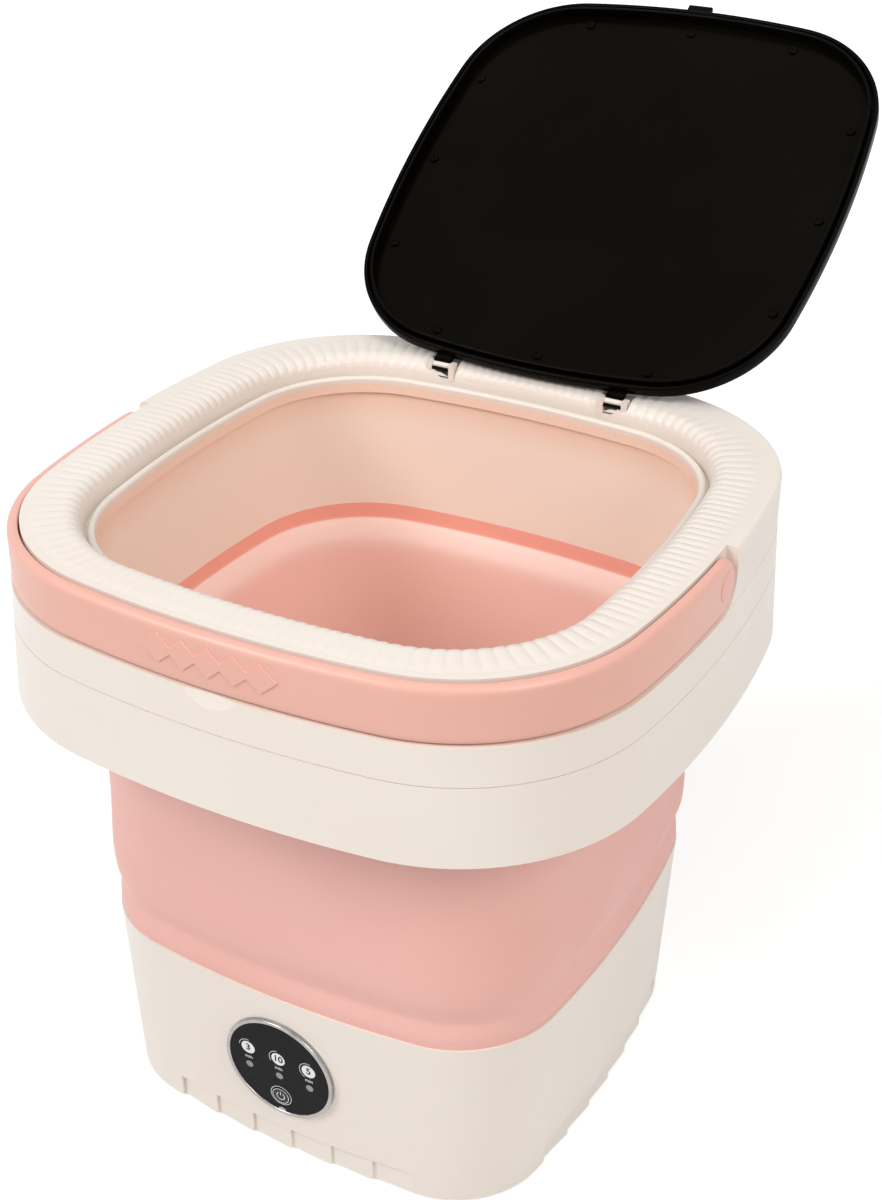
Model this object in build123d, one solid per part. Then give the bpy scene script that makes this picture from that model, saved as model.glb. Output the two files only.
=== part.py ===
from build123d import *
from math import acos, atan, cos, pi, radians, sin, sqrt, tan
import os

# Collapsible washing machine: a wide housing that slides down over a narrower base,
# joined to it by a soft bellows. Millimetres, +Z up, front (control panel) towards -Y.
# The origin is on the table, under the centre of the base.

# Outlines: squares with bulged sides and round corners, and parallel copies of them
side_bulge = 540.0
housing_half = 160.0
housing_corner = 93.5
rim_width = 37.4
opening_half = housing_half - rim_width
opening_corner = 62.7
base_step = 1.9
base_half = opening_half + base_step
base_corner = 54.5
base_taper = 4.9
base_foot_half = base_half - base_taper

# Heights
foot_proud = 1.5
base_height = 100.7
bellows_length = 133.3
skirt_lift = 1.1
skirt_height = 38.5
band_height = 18.0
recess_height = 27.9
base_top = foot_proud + base_height
wall_foot = base_top + bellows_length
skirt_foot = wall_foot + skirt_lift
seam = skirt_foot + skirt_height
ledge = seam + band_height
rim_top = ledge + recess_height

# Walls and clearances
wall = 2.6
thin = 0.05
run_gap = 0.08
free_gap = 0.3

# Housing: outer skin
skirt_flare = 3.2
seam_flare = 1.2
seam_groove = 0.5
band_proud = 0.3
rim_round = 3.0
recess_depth = 6.1

# Housing: top of the rim, from the outside in
shoulder_radius = 8.0
well_width = 5.4
well_half = opening_half + well_width
valley_depth = 12.7
bead_height = 3.2
bead_width = 3.6
bead_skirt = 5.3
bead_round = 1.6
inner_wall_step = 3.4
inner_wall_half = opening_half + inner_wall_step
inner_wall_draft = 1.4
shoulder_wall = 10.5
wall_screw_half = well_half + shoulder_wall / 2
wall_screw_offset = 0.2 * opening_half
wall_screw_grip = 8.0
valley = rim_top - valley_depth
bead_top = valley + bead_height
bead_foot = valley - bead_skirt

# Screws
screw_radius = 1.5
small_screw_radius = 1.25
screw_head_ratio = 1.93
screw_head_height = 2.2
post_radius = 4.2
pilot_gap = 0.05
side_count = 4

# Skirt ring and its screws
skirt_web = 2.5
skirt_web_half = housing_half - 20.0
skirt_screw_half = skirt_web_half + 5.0
skirt_screw_offset = 0.31 * housing_half
skirt_screw_length = 14.0

# Bellows and its clamp, on a flange round the outside of the inner wall
bellows_wall = 2.8
bellows_flange = 3.0
flange_lift = 11.0
flange_half = inner_wall_half + 12.5
clamp_height = 2.5
clamp_gap = 0.4
clamp_inner_half = inner_wall_half + wall + bellows_wall + clamp_gap
clamp_screw_half = (clamp_inner_half + flange_half) / 2
clamp_screw_offset = 0.37 * opening_half
cuff_height = 9.0
ledge_form = [(-5.0, 21.9), (-4.4, 17.0), (-2.4, 12.5), (0.0, 9.0)]
# Soft wall's outer half width from the base's, at shares of the bellows' length
bellows_form = [(-1.1, 0.0), (-0.5, 0.045), (-0.9, 0.083), (-1.4, 0.116), (-0.3, 0.154), (1.3, 0.206),
                (2.0, 0.285), (1.7, 0.375), (1.3, 0.488), (1.4, 0.638), (1.5, 0.788), (1.7, 0.855)]
bead_inner_half = base_half - 8.5
bead_thickness = 4.0

# Handle: a bail round the front half
handle_thickness = 5.0
handle_gap = 0.3
pivot_y = -1.0
handle_edge = 1.6
handle_bend_share = 0.3
stub_radius = 5.5
stub_reach = 3.7
washer_radius = 8.5
washer_thickness = 1.2
pivot_screw_radius = 1.9
pivot_screw_head = 4.0
pivot_screw_height = 2.4
pivot_screw_grip = 6.5
diamond_count = 5
diamond_pitch = 12.5
diamond_half_width = 8.2
diamond_half_height = 7.2
diamond_lift = 1.4
diamond_rise = 0.6
end_pad_radius = 7.5
end_pad_back = 2.5
end_pad_lift = 1.2
end_pad_rise = 0.5
scoop_depth = 3.5
scoop_radius = 60.0
scoop_rise = 14.5

# Lid, modelled closed and then turned open about its hinge
lid_half = opening_half + 2.6
lid_plate = 2.8
lid_depth = 7.8
lid_edge_round = 2.4
lid_skirt_wall = 2.4
lid_lip_half = opening_half - 1.4
lid_lip_wall = 1.6
lid_lip_drop = 1.0
open_angle = 146.4
hinge_gap = 3.0
hinge_drop = 0.8
hinge_offset = 0.4 * opening_half
bar_radius = 1.6
loop_window = 9.8
loop_post = 3.0
loop_depth = 4.6
loop_rise = 1.8
loop_seat = 0.8
loop_sill = 7.2
pocket_depth = 10.6
hook_outer = 3.3
hook_cut = 0.8
hook_gap_start = 241.0
hook_gap_span = 110.0
pad_radius = 2.6
pad_height = 1.2
pad_reach = lid_half - 13.2
pad_side_reach = lid_half - 16.2
pad_offset = 0.48 * lid_half
tab_half_width = 7.0
tab_reach = 4.2
tab_thickness = 2.8
tab_lift = 1.0
notch_gap = 0.9
notch_reach = 2.0

# Base shell
foot_recess_count = 6
foot_recess_pitch = 0.19 * base_foot_half
foot_recess_start = -0.552 * base_foot_half
foot_recess_depth = 1.6
foot_recess_height = 13.5
base_flange = 2.5
foot_blend = 4.0
pad_backing = 0.8
post_trim = 1.0
pilot_skin = 1.0
cover_post_half = base_foot_half - 7.0
cover_post_offset = 0.5 * base_foot_half
cover_post_height = 20.0

# Bottom cover and feet
cover_thickness = 2.5
cover_gap = 0.3
foot_height = 3.0
foot_radius = 10.0
foot_stem_radius = 4.0
foot_reach = base_foot_half - 37.6
bottom_screw_grip = 9.0
cover_top = foot_height + cover_thickness

# Tub floor
floor_height = 80.0
floor_thickness = 2.6
tub_half = base_half - 9.3
tub_wall = 2.4
tub_flange_half = base_half + bellows_form[0][0] - bellows_wall - free_gap
tub_flange_height = 5.0
tub_screw_half = tub_flange_half - 2.1
tub_screw_offset = 0.32 * base_half
tub_screw_grip = 4.0
tub_bend = [(9.0, 0.0), (4.0, 1.6), (0.9, 5.4), (0.0, 10.0)]
hub_radius = 15.0
hub_drop = 6.0
hub_rise = 1.6
shaft_clearance = 0.6
ear_boss_step = 2.0
ear_boss_rise = 0.5
seal_radius = 10.0
seal_height = 6.8
seal_floor = 2.2

# Drive: gears, shaft, motor
gear_module = 1.25
gear_teeth = 70
pinion_teeth = 14
gear_height = 10.0
pressure_angle = 20.0
dedendum_share = 1.25
flank_steps = 4
backlash = 0.16
gear_foot = floor_height - 24.0
gear_hub_radius = 10.0
gear_hub_drop = 3.0
gear_web = 4.0
gear_rim = 5.0
shaft_radius = 4.0
shaft_foot = floor_height - 35.5
shaft_top = floor_height + 12.0
clip_radius = 6.6
clip_height = 1.0
bush_radius = 6.5
bush_flange_radius = 8.4
bush_flange = 0.9
bush_wall = 2.0
bush_gap = 0.6
shaft_hole_gap = 1.0
plate_foot = floor_height - 32.5
plate_thickness = 2.5
plate_hub_rise = 2.0
case_top = floor_height - 8.0
case_wall = 2.4
case_room = 3.0
motor_lobe = 21.0
motor_angle = 135.0
motor_radius = 21.0
motor_foot = cover_top + 1.5
motor_shaft_radius = 2.5
motor_shaft_depth = 26.0
motor_screw_offset = 15.0
motor_screw_grip = 5.0
motor_end_gap = 1.0
motor_round = 2.0
terminal_half_width = 6.0
terminal_half_height = 3.0
terminal_reach = 2.5
terminal_height = 20.0
ear_radius = 7.0
ear_overlap = 0.9
gearbox_screw_grip = 7.0

# Pulsator
pulsator_radius = 76.0
pulsator_gap = 2.3
pulsator_skin = 3.0
pulsator_knee = 0.75
pulsator_step = 1.0
fin_knee = 0.66
crown_step = 5.0
fin_count = 4
fin_thickness = 6.0
cap_radius = 7.8
cap_thickness = 1.6
pulsator_screw_radius = 1.9
pulsator_screw_length = 10.0
pulsator_screw_head = 2.0

# Control panel, on a flat pad of the base's front wall
panel_height = 56.0
pad_disc_radius = 31.3
bezel_radius = 30.2
bezel_width = 2.1
bezel_height = 2.4
bezel_round = 0.8
bezel_peg_radius = 0.9
bezel_peg_length = 4.0
disc_radius = 27.9
disc_thickness = 1.8
disc_notch = 2.6
notch_drop = 0.6
lamp_spacing = 17.2
time_lens_radius = 3.8
time_lens_lift = 6.7
led_lens_radius = 2.0
led_lens_drop = 4.5
led_radius = 1.5
led_hole_radius = 2.3
key_drop = 18.0
key_radius = 5.0
key_gap = 0.3
key_proud = 0.4
key_flange_radius = 6.4
key_flange = 1.2
key_travel = 0.8
key_seat = 0.1
plunger_radius = 1.5
board_depth = 7.0
board_thickness = 1.6
board_half_width = 26.0
board_low = 25.0
board_high = 15.0
standoff_radius = 3.0
board_screw_radius = 0.75
board_screw_head = 1.2
standoff_x = 22.0
standoff_low = 20.5
standoff_high = 11.0
switch_size = 6.2
switch_height = 3.4
stem_radius = 1.6
stem_length = 1.8

# Rear of the base: low-voltage socket and drain
rear_height = 31.5
socket_x = -25.0
socket_radius = 5.9
socket_flange_radius = 7.6
socket_flange = 2.0
socket_length = 13.0
socket_bore = 3.2
socket_bore_depth = 10.0
socket_pin = 1.0
nut_across = 15.0
nut_height = 3.0
rear_boss_radius = 11.0
rear_boss_depth = 4.5
rear_pad = 1.0
drain_x = 35.0
drain_y = 0.707 * base_half
drain_radius = 8.0
drain_bore = 5.5
drain_collar_radius = 11.0
drain_collar = 2.0
drain_proud = 5.5
plug_length = 12.0
plug_head_radius = 9.0
plug_head = 4.0
plug_grip = 8.0
plug_grip_thickness = 3.0

# Leads held inside the base
lead_radius = 1.1
lead_bend = 6.0
lead_start = 14.0
lead_level = 24.0
lead_spacing = 5.0
lead_board_row = 6.0

# Far enough to cut right through
beyond = 400.0


def rounded_square(half, bulge, corner, z):
    """Face at height z: a square with sides bulged to a radius and round corners."""
    side_offset = bulge - half
    reach = bulge - corner
    corner_at = (sqrt(2 * reach ** 2 - side_offset ** 2) - side_offset) / 2
    join_far = bulge * (corner_at + side_offset) / reach - side_offset
    join_near = bulge * corner_at / reach
    bend = corner_at + corner / sqrt(2)
    edges = []
    for turn in range(side_count):
        place = Rot(0, 0, 90 * turn)
        side = ThreePointArc((join_far, -join_near, z), (half, 0, z), (join_far, join_near, z))
        edges.append(place * side)
        bend_arc = ThreePointArc((join_far, join_near, z), (bend, bend, z), (join_near, join_far, z))
        edges.append(place * bend_arc)
    return Face(Wire(edges))


def housing_line(half, z):
    inset = housing_half - half
    return rounded_square(half, side_bulge - inset, housing_corner - inset, z)


def opening_line(half, z):
    inset = opening_half - half
    return rounded_square(half, side_bulge - inset, opening_corner - inset, z)


def base_line(half, z):
    inset = base_half - half
    return rounded_square(half, side_bulge - inset, base_corner - inset, z)


def bellows_line(half, z):
    """Outline that changes from the base's shape to the inner wall's over the bellows' length."""
    share = min(1.0, (z - base_top) / bellows_length)
    corner = half - base_half + base_corner
    corner += share * (base_half - base_corner - opening_half + opening_corner)
    bulge = side_bulge + half - base_half + share * (base_half - opening_half)
    return rounded_square(half, bulge, corner, z)


def stack(line, levels):
    """Solid whose outline passes through each (half width, height) in turn."""
    return loft([line(half, z) for half, z in levels], ruled=True)


def prism(line, half, low, high):
    return extrude(line(half, low), amount=high - low, dir=(0, 0, 1))


def ring(line, outer, inner, low, high):
    return prism(line, outer, low, high) - prism(line, inner, low, high)


def rod(radius, low, high, x=0.0, y=0.0):
    """Upright cylinder between two heights."""
    return Pos(x, y, (low + high) / 2) * Cylinder(radius, high - low)


def rod_x(radius, left, right, y, z):
    return Pos((left + right) / 2, y, z) * Rot(0, 90, 0) * Cylinder(radius, right - left)


def rod_y(radius, front, back, x, z):
    return Pos(x, (front + back) / 2, z) * Rot(90, 0, 0) * Cylinder(radius, back - front)


def block(left, right, front, back, low, high):
    middle = Pos((left + right) / 2, (front + back) / 2, (low + high) / 2)
    return middle * Box(right - left, back - front, high - low)


def bulge_fall(half, reference, offset):
    """How far a bulged side falls back at a distance from its middle."""
    radius = side_bulge - (reference - half)
    return radius - sqrt(radius ** 2 - offset ** 2)


def side_places(half, reference, offset):
    """Two places on each of the four sides, at a half width and an offset from the middle."""
    places = []
    for turn in range(side_count):
        for x in (-offset, offset):
            y = bulge_fall(half, reference, offset) - half
            angle = radians(90 * turn)
            places.append((x * cos(angle) - y * sin(angle), x * sin(angle) + y * cos(angle)))
    return places


def rods(places, radius, low, high):
    solid = Part()
    for x, y in places:
        solid += rod(radius, low, high, x, y)
    return solid


def screws(places, seat, tip, direction=1, radius=screw_radius):
    """Pan-head screws, heads at the seat, pointing up (1) or down (-1), as separate solids."""
    made = []
    for x, y in places:
        head_end = seat - direction * screw_head_height
        shank = rod(radius, min(seat, tip), max(seat, tip), x, y)
        head = rod(radius * screw_head_ratio, min(seat, head_end), max(seat, head_end), x, y)
        made.append(shank + head)
    return made


def edges_at(part, z):
    return part.edges().filter_by_position(Axis.Z, z - 0.01, z + 0.01)


def outline_edges(part, line, half, z):
    """Edges of a part that lie on one outline at one height."""
    wanted = [e.position_at(0.5) for e in line(half, z).edges()]
    return [e for e in edges_at(part, z) if any((e.position_at(0.5) - w).length < 0.05 for w in wanted)]


# Hinge, pivot and panel places that several pieces share
hinge_y = lid_half + hinge_gap
hinge_z = rim_top - hinge_drop
pivot_z = ledge + recess_height / 2 - handle_gap
handle_low = ledge + handle_gap
flange_seat = wall_foot + flange_lift
handle_high = 2 * pivot_z - handle_low
handle_end = (handle_high - handle_low) / 2
handle_outer = housing_half - 0.2
handle_inner = handle_outer - handle_thickness
recess_half = housing_half - recess_depth
base_draft = atan((base_half - base_foot_half) / base_height)
panel_z = foot_proud + panel_height
panel_y = -(base_foot_half + panel_height * tan(base_draft))
panel = Plane(origin=(0, panel_y, panel_z), x_dir=(1, 0, 0), z_dir=(0, -cos(base_draft), -sin(base_draft)))


def on_panel(shape, x=0.0, y=0.0, low=0.0, high=0.0):
    """Places a shape of unit plan on the panel, between two depths (0 is the pad's face)."""
    return panel.location * Pos(x, y, (low + high) / 2) * shape


def panel_rod(radius, low, high, x=0.0, y=0.0):
    return on_panel(Cylinder(radius, high - low), x, y, low, high)


# Housing
def handle_side_profile(gap, open_top):
    """Side view of the handle, as a bar right across the housing."""
    low = handle_low - gap
    high = handle_high + gap
    bar = block(-beyond, beyond, -beyond, pivot_y, low, high)
    bar += rod_x(handle_end + gap, -beyond, beyond, pivot_y, pivot_z)
    if open_top:
        bar += block(-beyond, beyond, -beyond, pivot_y + handle_end + gap, pivot_z, rim_top + wall)
        bar += block(-beyond, beyond, -beyond, pivot_y, ledge, rim_top)
    return bar


def hinge_loop(x):
    """Staple-shaped loop: two posts and the bar that a lid hook turns on."""
    half_window = loop_window / 2
    front = hinge_y - loop_depth / 2
    back = hinge_y + loop_depth / 2
    low = hinge_z - loop_sill
    high = hinge_z + loop_rise
    left_post = block(x - half_window - loop_post, x - half_window, front, back, low, high)
    right_post = block(x + half_window, x + half_window + loop_post, front, back, low, high)
    return left_post + right_post + rod_x(bar_radius, x - half_window, x + half_window, hinge_y, hinge_z)


def hinge_pocket(x):
    half_width = loop_window / 2 + loop_post + free_gap
    front = hinge_y - loop_depth / 2
    floor = hinge_z - loop_sill + loop_seat
    return block(x - half_width, x + half_width, front, front + pocket_depth, floor, rim_top + wall)


def housing_hollow():
    """Space inside the outer skin, under the top and round the shoulder block, open below."""
    low = stack(housing_line, [(housing_half + seam_flare - wall, seam - wall),
                               (housing_half - wall, ledge - wall)])
    high = prism(housing_line, recess_half - wall, seam, rim_top - wall)
    shoulder = prism(opening_line, well_half + shoulder_wall, valley - wall, rim_top)
    return low + high - shoulder


def rim_cover():
    skin = stack(housing_line, [(housing_half + seam_flare, seam), (housing_half + band_proud, ledge)])
    skin += prism(housing_line, housing_half, ledge, rim_top)
    well = prism(opening_line, well_half, valley, rim_top + wall)
    skin -= well
    skin = fillet(outline_edges(skin, opening_line, well_half, rim_top), shoulder_radius)
    skin = fillet(outline_edges(skin, housing_line, housing_half, rim_top), rim_round)
    skin -= housing_hollow()
    skin -= prism(opening_line, opening_half + bead_width + thin, seam, valley + wall)
    recess = ring(housing_line, housing_half + wall, recess_half, ledge, rim_top + wall)
    skin -= recess & handle_side_profile(handle_gap, True)
    skin -= rod_x(stub_radius + run_gap, -beyond, beyond, pivot_y, pivot_z) & ring(
        housing_line, housing_half, recess_half - wall - 1, ledge, rim_top)
    scoop_y = -(housing_half + band_proud - scoop_depth + scoop_radius)
    skin -= Pos(0, scoop_y, ledge + scoop_rise) * Sphere(scoop_radius)
    for x in (-hinge_offset, hinge_offset):
        skin = skin - hinge_pocket(x) + hinge_loop(x)
    notch_low = lid_bottom + tab_lift - notch_gap / 4
    notch_back = -(lid_half + tab_reach + notch_gap)
    notch_side = tab_half_width + notch_gap
    skin -= block(-notch_side, notch_side, notch_back, notch_reach - well_half, notch_low, rim_top + wall)
    skirt_places = side_places(skirt_screw_half, housing_half, skirt_screw_offset)
    skin += rods(skirt_places, post_radius, seam, rim_top - wall)
    skin -= rods(skirt_places, screw_radius + pilot_gap, seam, seam + skirt_screw_length)
    wall_places = side_places(wall_screw_half, opening_half, wall_screw_offset)
    top = valley - wall
    return skin - rods(wall_places, screw_radius + pilot_gap, top, top + wall_screw_grip)


def inner_wall():
    """Tube that lines the opening: a bead through the rim, a flange under it and one for the bellows."""
    top = valley - wall
    tube = prism(opening_line, inner_wall_half + wall, wall_foot, top)
    tube += prism(opening_line, flange_half, flange_seat, flange_seat + wall)
    tube += prism(opening_line, well_half + shoulder_wall, top - wall, top)
    tube += prism(opening_line, opening_half + bead_width, top, bead_top)
    tube -= stack(opening_line, [(inner_wall_half, wall_foot),
                                 (inner_wall_half - inner_wall_draft, bead_foot)])
    tube -= prism(opening_line, opening_half, bead_foot, bead_top)
    tube = fillet(edges_at(tube, bead_top), bead_round)
    clamp_places = side_places(clamp_screw_half, opening_half, clamp_screw_offset)
    tube -= rods(clamp_places, screw_radius + pilot_gap, flange_seat, flange_seat + wall)
    wall_places = side_places(wall_screw_half, opening_half, wall_screw_offset)
    return tube - rods(wall_places, screw_radius + pilot_gap, top - wall, top)


def wall_screws():
    places = side_places(wall_screw_half, opening_half, wall_screw_offset)
    return screws(places, valley - 2 * wall, valley - wall + wall_screw_grip)


def skirt_ring():
    outer = stack(housing_line, [(housing_half + skirt_flare, skirt_foot),
                                 (housing_half + seam_flare, seam)])
    outer -= ring(housing_line, housing_half + skirt_flare, housing_half + seam_flare - seam_groove,
                  seam - seam_groove, seam)
    inner = stack(housing_line, [(housing_half + skirt_flare - wall, skirt_foot),
                                 (housing_half + seam_flare - wall, seam)])
    web = ring(housing_line, housing_half + seam_flare - wall / 2, skirt_web_half, seam - skirt_web, seam)
    places = side_places(skirt_screw_half, housing_half, skirt_screw_offset)
    return outer - inner + web - rods(places, screw_radius + pilot_gap, seam - skirt_web, seam)


def upper_clamp():
    top = flange_seat - bellows_flange
    places = side_places(clamp_screw_half, opening_half, clamp_screw_offset)
    clamp = ring(opening_line, flange_half, clamp_inner_half, top - clamp_height, top)
    return clamp - rods(places, screw_radius + pilot_gap, top - clamp_height, top)


def clamp_screws():
    seat = flange_seat - bellows_flange - clamp_height
    return screws(side_places(clamp_screw_half, opening_half, clamp_screw_offset), seat, flange_seat + wall)


def skirt_screws():
    places = side_places(skirt_screw_half, housing_half, skirt_screw_offset)
    return screws(places, seam - skirt_web, seam + skirt_screw_length - skirt_web)


# Bellows
def bellows():
    """Soft wall: a cuff and clamped flange outside the inner wall, and a clamped bead at its foot."""
    flange_low = flange_seat - bellows_flange
    cuff_low = wall_foot - cuff_height
    cuff_half = inner_wall_half + wall + bellows_wall
    form = [(base_half + step, base_top + share * bellows_length) for step, share in bellows_form]
    outer = list(form)
    outer += [(inner_wall_half + bellows_wall, cuff_low),
              (inner_wall_half + bellows_wall, wall_foot - bellows_wall), (cuff_half, wall_foot),
              (cuff_half, flange_low), (flange_half, flange_low), (flange_half, flange_seat)]
    middle = (base_top + wall_foot) / 2
    inner = [(half - bellows_wall, height) for half, height in form if height < middle]
    inner += [(inner_wall_half + step, wall_foot - drop) for step, drop in ledge_form]
    inner += [(inner_wall_half, wall_foot), (inner_wall_half + wall, wall_foot),
              (inner_wall_half + wall, flange_seat)]
    soft = stack(bellows_line, outer) - stack(bellows_line, inner)
    bead_half = form[0][0] - bellows_wall / 2
    soft += ring(base_line, bead_half, bead_inner_half, base_top, base_top + bead_thickness)
    soft -= rods(side_places(clamp_screw_half, opening_half, clamp_screw_offset), screw_radius + pilot_gap,
                 flange_low, flange_seat)
    soft -= rods(side_places(tub_screw_half, base_half, tub_screw_offset), small_screw_radius + pilot_gap,
                 base_top, base_top + bead_thickness)
    return soft


# Handle
def diamond(x):
    corners = [(x - diamond_half_width, 0), (x, diamond_half_height), (x + diamond_half_width, 0),
               (x, -diamond_half_height)]
    front = Plane(origin=(0, -beyond / 2, pivot_z + diamond_lift), x_dir=(1, 0, 0), z_dir=(0, -1, 0))
    return extrude(front * Polygon(*corners, align=None), amount=beyond / 4, both=True)


def handle():
    bend = handle_edge * handle_bend_share
    reach = [(handle_outer - handle_edge, handle_low), (handle_outer - bend, handle_low + bend),
             (handle_outer, handle_low + handle_edge), (handle_outer, handle_high - handle_edge),
             (handle_outer - bend, handle_high - bend), (handle_outer - handle_edge, handle_high)]
    band = stack(housing_line, reach) - prism(housing_line, handle_inner, handle_low, handle_high)
    raised = ring(housing_line, handle_outer + diamond_rise, handle_outer - 1, handle_low, handle_high)
    marks = Part()
    for index in range(diamond_count):
        marks += diamond((index - (diamond_count - 1) / 2) * diamond_pitch)
    band += raised & marks
    band = band & handle_side_profile(0, False)
    for side in (-1, 1):
        inner = side * (handle_inner - stub_reach)
        outer = side * (handle_inner + 1)
        band += rod_x(stub_radius, min(inner, outer), max(inner, outer), pivot_y, pivot_z)
        pad_foot = side * (handle_outer - end_pad_rise)
        pad_face = side * (handle_outer + end_pad_rise)
        band += rod_x(end_pad_radius, min(pad_foot, pad_face), max(pad_foot, pad_face),
                      pivot_y + end_pad_back, pivot_z + end_pad_lift)
        tip = side * (handle_inner - stub_reach + pivot_screw_grip)
        band -= rod_x(pivot_screw_radius + pilot_gap, min(inner, tip), max(inner, tip), pivot_y, pivot_z)
    return band


def pivot_washers():
    made = []
    for side in (-1, 1):
        outer = side * (handle_inner - stub_reach)
        inner = outer - side * washer_thickness
        left, right = min(inner, outer), max(inner, outer)
        disc = rod_x(washer_radius, left, right, pivot_y, pivot_z)
        made.append(disc - rod_x(pivot_screw_radius + pilot_gap, left, right, pivot_y, pivot_z))
    return made


def pivot_screws():
    made = []
    for side in (-1, 1):
        seat = side * (handle_inner - stub_reach - washer_thickness)
        tip = side * (handle_inner - stub_reach + pivot_screw_grip)
        back = seat - side * pivot_screw_height
        shank = rod_x(pivot_screw_radius, min(seat, tip), max(seat, tip), pivot_y, pivot_z)
        made.append(shank + rod_x(pivot_screw_head, min(seat, back), max(seat, back), pivot_y, pivot_z))
    return made


# Lid
lid_bottom = rim_top - lid_depth


def hook_gap_wedge(x):
    """Wedge that opens the C of a hook, so that it snaps onto its bar."""
    far = 3 * hook_outer
    start = radians(hook_gap_start)
    end = radians(hook_gap_start + hook_gap_span)
    corners = [(0, 0), (far * cos(start), far * sin(start)), (far * cos(end), far * sin(end))]
    side = Plane(origin=(x, hinge_y, hinge_z), x_dir=(0, 1, 0), z_dir=(1, 0, 0))
    return extrude(side * Polygon(*corners, align=None), amount=loop_window, both=True)


def lid_hook(x):
    half_width = loop_window / 2 - free_gap
    curl = rod_x(hook_outer, x - half_width, x + half_width, hinge_y, hinge_z)
    arm = block(x - half_width, x + half_width, lid_half - 3 * lid_skirt_wall, hinge_y - bar_radius,
                hinge_z - hook_outer + hook_cut, hinge_z + bar_radius / 2)
    hook = curl - hook_gap_wedge(x) + arm
    return hook - rod_x(bar_radius + run_gap, x - loop_window, x + loop_window, hinge_y, hinge_z)


def lid_pads():
    pads = Part()
    low = rim_top - lid_plate - pad_height
    for turn in range(side_count):
        for x, reach in ((0, pad_reach), (pad_offset, pad_side_reach), (-pad_offset, pad_side_reach)):
            pads += Rot(0, 0, 90 * turn) * rod(pad_radius, low, rim_top - lid_plate, x, -reach)
    return pads


def lid():
    plate = prism(opening_line, lid_half, lid_bottom, rim_top)
    plate = fillet(edges_at(plate, rim_top), lid_edge_round)
    plate -= prism(opening_line, lid_half - lid_skirt_wall, lid_bottom, rim_top - lid_plate)
    plate += ring(opening_line, lid_lip_half, lid_lip_half - lid_lip_wall, lid_bottom - lid_lip_drop,
                  rim_top - lid_plate)
    plate += lid_pads()
    tab_low = lid_bottom + tab_lift
    plate += block(-tab_half_width, tab_half_width, -lid_half - tab_reach, -lid_half + lid_skirt_wall / 2,
                   tab_low, tab_low + tab_thickness)
    for x in (-hinge_offset, hinge_offset):
        plate += lid_hook(x)
    return plate.rotate(Axis((0, hinge_y, hinge_z), (1, 0, 0)), -open_angle)


# Base
def foot_recesses():
    """Shingle-like cuts along the foot: deep at one end, fading to nothing at the other."""
    cuts = Part()
    for index in range(foot_recess_count):
        left = foot_recess_start + index * foot_recess_pitch
        right = left + foot_recess_pitch
        left_skin = -base_foot_half + bulge_fall(base_foot_half, base_half, left)
        right_skin = -base_foot_half + bulge_fall(base_foot_half, base_half, right)
        corners = [(left, -base_half - wall), (left, left_skin + foot_recess_depth), (right, right_skin),
                   (right, -base_half - wall)]
        cut = extrude(Polygon(*corners, align=None), amount=foot_proud + foot_recess_height, dir=(0, 0, 1))
        for turn in range(side_count):
            cuts += Rot(0, 0, 90 * turn) * cut
    return cuts


def rear_wall_y(x, z):
    slope = (base_half - base_foot_half) / base_height
    half = base_foot_half + (z - foot_proud) * slope
    return half - bulge_fall(half, base_half, x)


def base_shell():
    shell = stack(base_line, [(base_foot_half, foot_proud), (base_half, base_top)])
    inside_top = base_half - wall - base_flange * tan(base_draft)
    shell -= foot_recesses()
    shell -= stack(base_line, [(base_foot_half - wall - foot_recess_depth / 2, foot_proud),
                               (base_foot_half - wall, foot_proud + foot_recess_height + foot_blend),
                               (inside_top, base_top - base_flange)])
    shell -= prism(base_line, tub_half + free_gap, base_top - base_flange, base_top)
    shell -= rods(side_places(tub_screw_half, base_half, tub_screw_offset), small_screw_radius + pilot_gap,
                  base_top - base_flange, base_top)
    posts = side_places(cover_post_half, base_half, cover_post_offset)
    post_low = cover_top
    inside = prism(base_line, base_foot_half - post_trim, post_low, post_low + cover_post_height)
    shell += rods(posts, post_radius, post_low, post_low + cover_post_height) & inside
    shell -= rods(posts, screw_radius + pilot_gap, post_low, post_low + bottom_screw_grip)
    shell += panel_rod(pad_disc_radius, -wall - pad_backing, 0)
    for x in (socket_x, drain_x):
        y = rear_wall_y(x, rear_height)
        shell += rod_y(rear_boss_radius, y - rear_boss_depth, y + rear_pad, x, rear_height)
    for x in (-standoff_x, standoff_x):
        for y in (-standoff_low, standoff_high):
            shell += panel_rod(standoff_radius, -board_depth, -wall, x, y)
            shell -= panel_rod(board_screw_radius + pilot_gap, -board_depth, -wall - pilot_skin, x, y)
    for x in (-lamp_spacing, 0, lamp_spacing):
        shell -= panel_rod(led_hole_radius, -2 * wall, 0, x, -led_lens_drop)
    shell -= panel_rod(key_flange_radius + key_gap, -2 * wall, 0, 0, -key_drop)
    for peg in bezel_peg_places():
        shell -= panel_rod(bezel_peg_radius + pilot_gap, -2 * wall, 0, *peg)
    y = rear_wall_y(socket_x, rear_height)
    shell -= rod_y(socket_radius + thin, y - 2 * rear_boss_depth, y + rear_pad, socket_x, rear_height)
    y = rear_wall_y(drain_x, rear_height)
    shell -= rod_y(drain_radius + thin, y - 2 * rear_boss_depth, y + rear_pad, drain_x, rear_height)
    return shell


def bottom_cover():
    half = base_foot_half - wall - foot_recess_depth / 2 - cover_gap
    top = cover_top
    cover = prism(base_line, half, foot_height, top)
    cover -= rods(side_places(cover_post_half, base_half, cover_post_offset), screw_radius + pilot_gap,
                  foot_height, top)
    for x, y in foot_places():
        cover -= rod(foot_stem_radius, foot_height, top, x, y)
    return cover


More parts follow.
